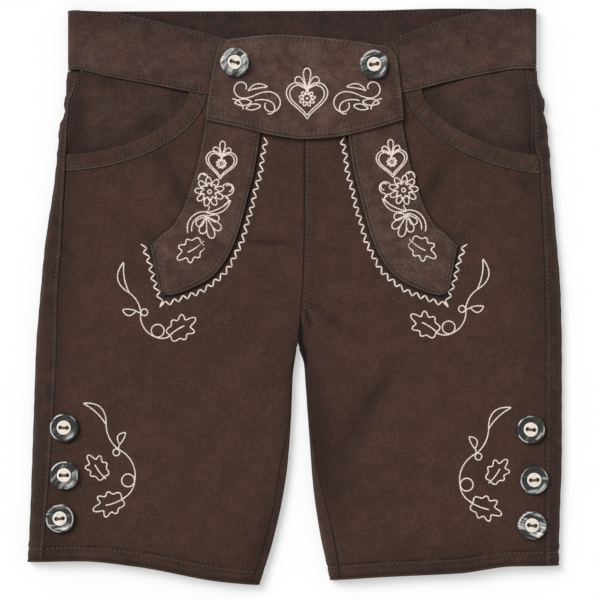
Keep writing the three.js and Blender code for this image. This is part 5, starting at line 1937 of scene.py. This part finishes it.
class SHORTS_OT_tabs(Operator):
    """Cut the two tabs that hang out from under the flap"""

    bl_idname = "shorts.tabs"
    bl_label = "Tabs"

    def execute(self, context):
        garment = Garment(context)
        dye = garment.twill("Flap twill", "flap")
        for leg in garment.legs:
            grid = tab_grid(leg, garment, TAB_COLUMNS, TAB_ROWS)
            panel = leg_panel("flap_tab", leg, grid, garment.tab)
            lines = (("start", TAB_OUTER_LINE), ("end", TAB_INNER_LINE), ("bottom", TAB_END_LINE))
            marks = sewn(panel, *lines)
            fold = creases(TAB_CREASES, leg.inward * (grid[..., 0] - FLAP_CENTRE_X), grid[..., 1])
            marks["lift"] += fold
            # Painted shade in the troughs of the tabs' creases.
            creased = np.clip(-CREASE_DARK * fold, 0, 1)
            marks["shade"] = np.maximum(SHADOW_SHARE["tab"] * shadows(grid), creased)
            panel.build(dye, "trim_cloth", [f"front_leg_{leg.name}"], **marks)
        return {"FINISHED"}


class SHORTS_OT_topstitching(Operator):
    """Sew the topstitching of the seams, hems and edges"""

    bl_idname = "shorts.topstitching"
    bl_label = "Topstitching"

    def execute(self, context):
        stitches = context.scene.shorts_stitches
        dye = thread_material("Topstitch thread", stitches.top_colour, *TOP_TWIST)
        sizes = [stitches.top_length, stitches.top_gap, stitches.top_radius]
        length, gap, radius = (size / MM for size in sizes)

        def sew(name, *lines):
            stitched(name, lines, dye, length, gap, radius, *TOP_ARCH)

        bands = [panel_of(node) for node in (*FRONT_BANDS, "back_waistband")]
        seams = (("top", BAND_TOP_LINE), ("bottom", BAND_SEAM_LINE))
        ends = [BAND_LINE_END] * 2
        sew("waistband_stitches", *(band.line(*seam, *ends) for band in bands for seam in seams))
        flap = panel_of("front_flap")
        sides = [flap.line(side, FLAP_LINE, FLAP_LOW_LINE, FLAP_LINE) for side in ("start", "end")]
        seams = (("top", FLAP_LINE), ("bottom", FLAP_LOW_LINE))
        levels = [flap.line(*seam, FLAP_LINE, FLAP_LINE) for seam in seams]
        sew("flap_stitches", *sides, *levels)
        for name in ("right", "left"):
            tab = panel_of(f"flap_tab_{name}")
            sides = [
                tab.line("start", TAB_OUTER_LINE, TAB_END_LINE, TAB_UNDER_FLAP),
                tab.line("end", TAB_INNER_LINE, TAB_END_LINE, TAB_UNDER_FLAP),
                tab.line("bottom", TAB_END_LINE, TAB_OUTER_LINE, TAB_INNER_LINE),
            ]
            sew(f"tab_stitches_{name}", *sides)
            binding = panel_of(f"pocket_binding_{name}")
            sew(f"pocket_stitches_{name}", binding.line("bottom", BINDING_LINE))
            front, back = panel_of(f"front_leg_{name}"), panel_of(f"back_leg_{name}")
            sew(f"hem_stitches_{name}", *(leg.line("bottom", HEM_LINE) for leg in (front, back)))
            sew(f"side_stitches_{name}", back.line("start", SIDE_LINE))
        seam = panel_of("front_leg_left").line("end", CENTRE_LINE, CENTRE_FROM)
        sew("centre_stitches", seam)
        return {"FINISHED"}


class SHORTS_OT_braid(Operator):
    """Sew the zigzag braid beside the tabs"""

    bl_idname = "shorts.braid"
    bl_label = "Zigzag braid"

    def execute(self, context):
        garment = Garment(context)
        stitches = context.scene.shorts_stitches
        dye = embroidery_material(stitches)
        sizes = [stitches.braid_pitch, stitches.braid_swing, stitches.braid_radius]
        pitch, swing, radius = (size / MM for size in sizes)
        for leg in garment.legs:
            spots, normals = on_cloth(leg.above(garment.leg / 2), braid(leg, pitch, swing))
            start, end, normal = spots[:-1], spots[1:], (normals[:-1] + normals[1:]) / 2
            run = np.arange(len(start)) * pitch
            name = f"zigzag_braid_{leg.name}"
            stitches_between(name, start, end, normal, run, dye, radius, MOTIF_ARCH[0])
        return {"FINISHED"}


class SHORTS_OT_embroidery(Operator):
    """Embroider the flap, the tabs and the legs"""

    bl_idname = "shorts.embroidery"
    bl_label = "Embroidery"

    def execute(self, context):
        garment = Garment(context)
        stitches = context.scene.shorts_stitches
        dye = embroidery_material(stitches)
        length, radius = stitches.motif_length / MM, stitches.motif_radius / MM

        def on_flap(x, y):
            return flap_height(garment, x, y) + garment.flap / 2

        # Motifs on the right, their rise over the middle of the leg's cloth, and the line about
        # which the left ones are flipped and their shift.
        on_leg = garment.leg / 2
        on_tab = on_leg + LAYER_GAP + garment.tab
        fields = {
            "tab": (tab_motifs(), on_tab, FLAP_CENTRE_X, (3, 1)),
            "thigh": (thigh_motifs(), on_leg, FLAP_CENTRE_X, (-1, 2)),
            "hem": (hem_motifs(), on_leg, HEM_CENTRE_X, (0, -2.5)),
        }
        work = [("flap_embroidery", on_flap, flap_motifs())]
        for field, (motifs, rise, about, shift) in fields.items():
            mirrored = placed(flipped(motifs, about), *shift)
            for leg, drawn in zip(garment.legs, (motifs, mirrored)):
                work.append((f"{field}_embroidery_{leg.name}", leg.above(rise), drawn))
        for seed, (name, height, motifs) in enumerate(work):
            lines = [on_cloth(height, even(line, EVEN_STEP)) for line in motifs]
            stitched(name, lines, dye, length, -THREAD_LAP, radius, *MOTIF_ARCH, seed)
        return {"FINISHED"}


class SHORTS_OT_buttons(Operator):
    """Turn the horn-look buttons with their pale centres, and sew them on"""

    bl_idname = "shorts.buttons"
    bl_label = "Buttons"

    def execute(self, context):
        buttons = context.scene.shorts_buttons
        horn = horn_material(buttons)
        pale = pale_material(buttons.centre_colour)
        thread = thread_material("Button thread", buttons.thread_colour, *BAR_TWIST)
        radius = buttons.thread_radius / MM
        for node in BUTTONS:
            button = Button(node)
            spots, faces = turned(through(DISC_PROFILE), DISC_SIDES)
            streak = np.full(len(spots), button.streak * buttons.streaks)
            # Painted highlight: a pale line round the top of the rim.
            rim = ridge(np.hypot(*spots[:, :2].T), *RIM_HIGHLIGHT) * (spots[:, 2] > BUTTON_HEIGHT / 2)
            marks = {"grain": button.grain(spots), "streak": streak, "rim": rim}
            disc = add_mesh(f"{node}_disc", button.placed(spots), faces, horn, marks)
            place(disc, "horn", node)

            spots, faces = turned(through(CENTRE_PROFILE), CENTRE_SIDES)
            x, y = (spots @ button.thread_turn)[:, :2].T
            spots[:, 2] -= EYE_DEPTH * eyes(x, y) * (spots[:, 2] > CENTRE_BASE + 1)
            hole = eyes(x, y) * (spots[:, 2] > CENTRE_BASE)
            marks = {"grain": button.grain(spots), "hole": hole}
            centre = add_mesh(f"{node}_pale_centre", button.placed(spots), faces, pale, marks)
            place(centre, "pale_centre", f"{node}_centre")

            far = EYE_SPACING / 2 + 0.1
            ends = [points(side * far, *STRANDS.values()) for side in (-1, 1)]
            ends = [button.placed(spots @ button.thread_turn.T) for spots in ends]
            upright = np.tile(button.tilt @ (0, 0, 1), (2, 1))
            lines = [(np.stack(pair), upright) for pair in zip(*ends)]
            stitched(f"{node}_thread", lines, thread, 5, 0, radius, *BAR_ARCH)
        return {"FINISHED"}


class SHORTS_OT_stage(Operator):
    """Lay the floor and set the lights and the camera"""

    bl_idname = "shorts.stage"
    bl_label = "Stage"

    def execute(self, context):
        scene, stage = context.scene, context.scene.shorts_stage
        x, y = np.array([(-1, 1, 1, -1), (-1, -1, 1, 1)]) * FLOOR_SPAN / 2
        floor = points(x, y, -FLOOR_DROP)
        add_mesh("floor", floor, np.array([[0, 1, 2, 3]]), floor_material(stage))

        world = scene.world or bpy.data.worlds.new("Studio")
        scene.world = world
        world.use_nodes = True
        background = world.node_tree.nodes["Background"]
        background.inputs["Color"].default_value = (1, 1, 1, 1)
        background.inputs["Strength"].default_value = stage.world_light
        lamp = bpy.data.lights.new("key", "SUN")
        lamp.energy = stage.key_power
        lamp.angle = math.radians(KEY_SPREAD)
        key = bpy.data.objects.new("key", lamp)
        key.location = KEY_PLACE
        key.rotation_mode = "QUATERNION"
        key.rotation_quaternion = (-key.location).to_track_quat("-Z", "Y")
        scene.collection.objects.link(key)

        lens = bpy.data.cameras.new("camera")
        lens.sensor_width = SENSOR_WIDTH
        lens.lens = SENSOR_WIDTH * stage.height / stage.view
        lens.clip_end = VIEW_REACH
        camera = bpy.data.objects.new("camera", lens)
        middle = sum(CAD_BOX, Vector((0, 0, 0))) / 2
        camera.location = middle + Vector((*VIEW_SHIFT, 0)) * MM + Vector((0, 0, stage.height))
        scene.collection.objects.link(camera)
        scene.camera = camera
        scene.view_settings.view_transform = "Standard"
        return {"FINISHED"}


OPERATORS = [
    SHORTS_OT_back_legs,
    SHORTS_OT_front_legs,
    SHORTS_OT_hip_facings,
    SHORTS_OT_pocket_bindings,
    SHORTS_OT_waistband,
    SHORTS_OT_flap,
    SHORTS_OT_tabs,
    SHORTS_OT_topstitching,
    SHORTS_OT_braid,
    SHORTS_OT_embroidery,
    SHORTS_OT_buttons,
    SHORTS_OT_stage,
]
SETTINGS = {
    "shorts_cloth": ShortsCloth,
    "shorts_stitches": ShortsStitches,
    "shorts_buttons": ShortsButtons,
    "shorts_stage": ShortsStage,
}


class SHORTS_PT_sidebar(Panel):
    """Sizes and colours of the shorts, and the steps that make them"""

    bl_idname = "SHORTS_PT_sidebar"
    bl_label = "Lederhosen-style shorts"
    bl_space_type = "VIEW_3D"
    bl_region_type = "UI"
    bl_category = "Shorts"

    def draw(self, context):
        for name, group in SETTINGS.items():
            box = self.layout.box()
            settings = getattr(context.scene, name)
            for prop in group.__annotations__:
                box.prop(settings, prop)
        for operator in OPERATORS:
            self.layout.operator(operator.bl_idname)


def register():
    for group in (*SETTINGS.values(), *OPERATORS, SHORTS_PT_sidebar):
        bpy.utils.register_class(group)
    for name, group in SETTINGS.items():
        setattr(bpy.types.Scene, name, PointerProperty(type=group))


def unregister():
    for name in SETTINGS:
        delattr(bpy.types.Scene, name)
    for group in (SHORTS_PT_sidebar, *reversed(OPERATORS), *SETTINGS.values()):
        bpy.utils.unregister_class(group)


def main():
    register()
    for operator in OPERATORS:
        getattr(bpy.ops.shorts, operator.bl_idname.split(".")[1])()


if __name__ == "__main__":
    main()
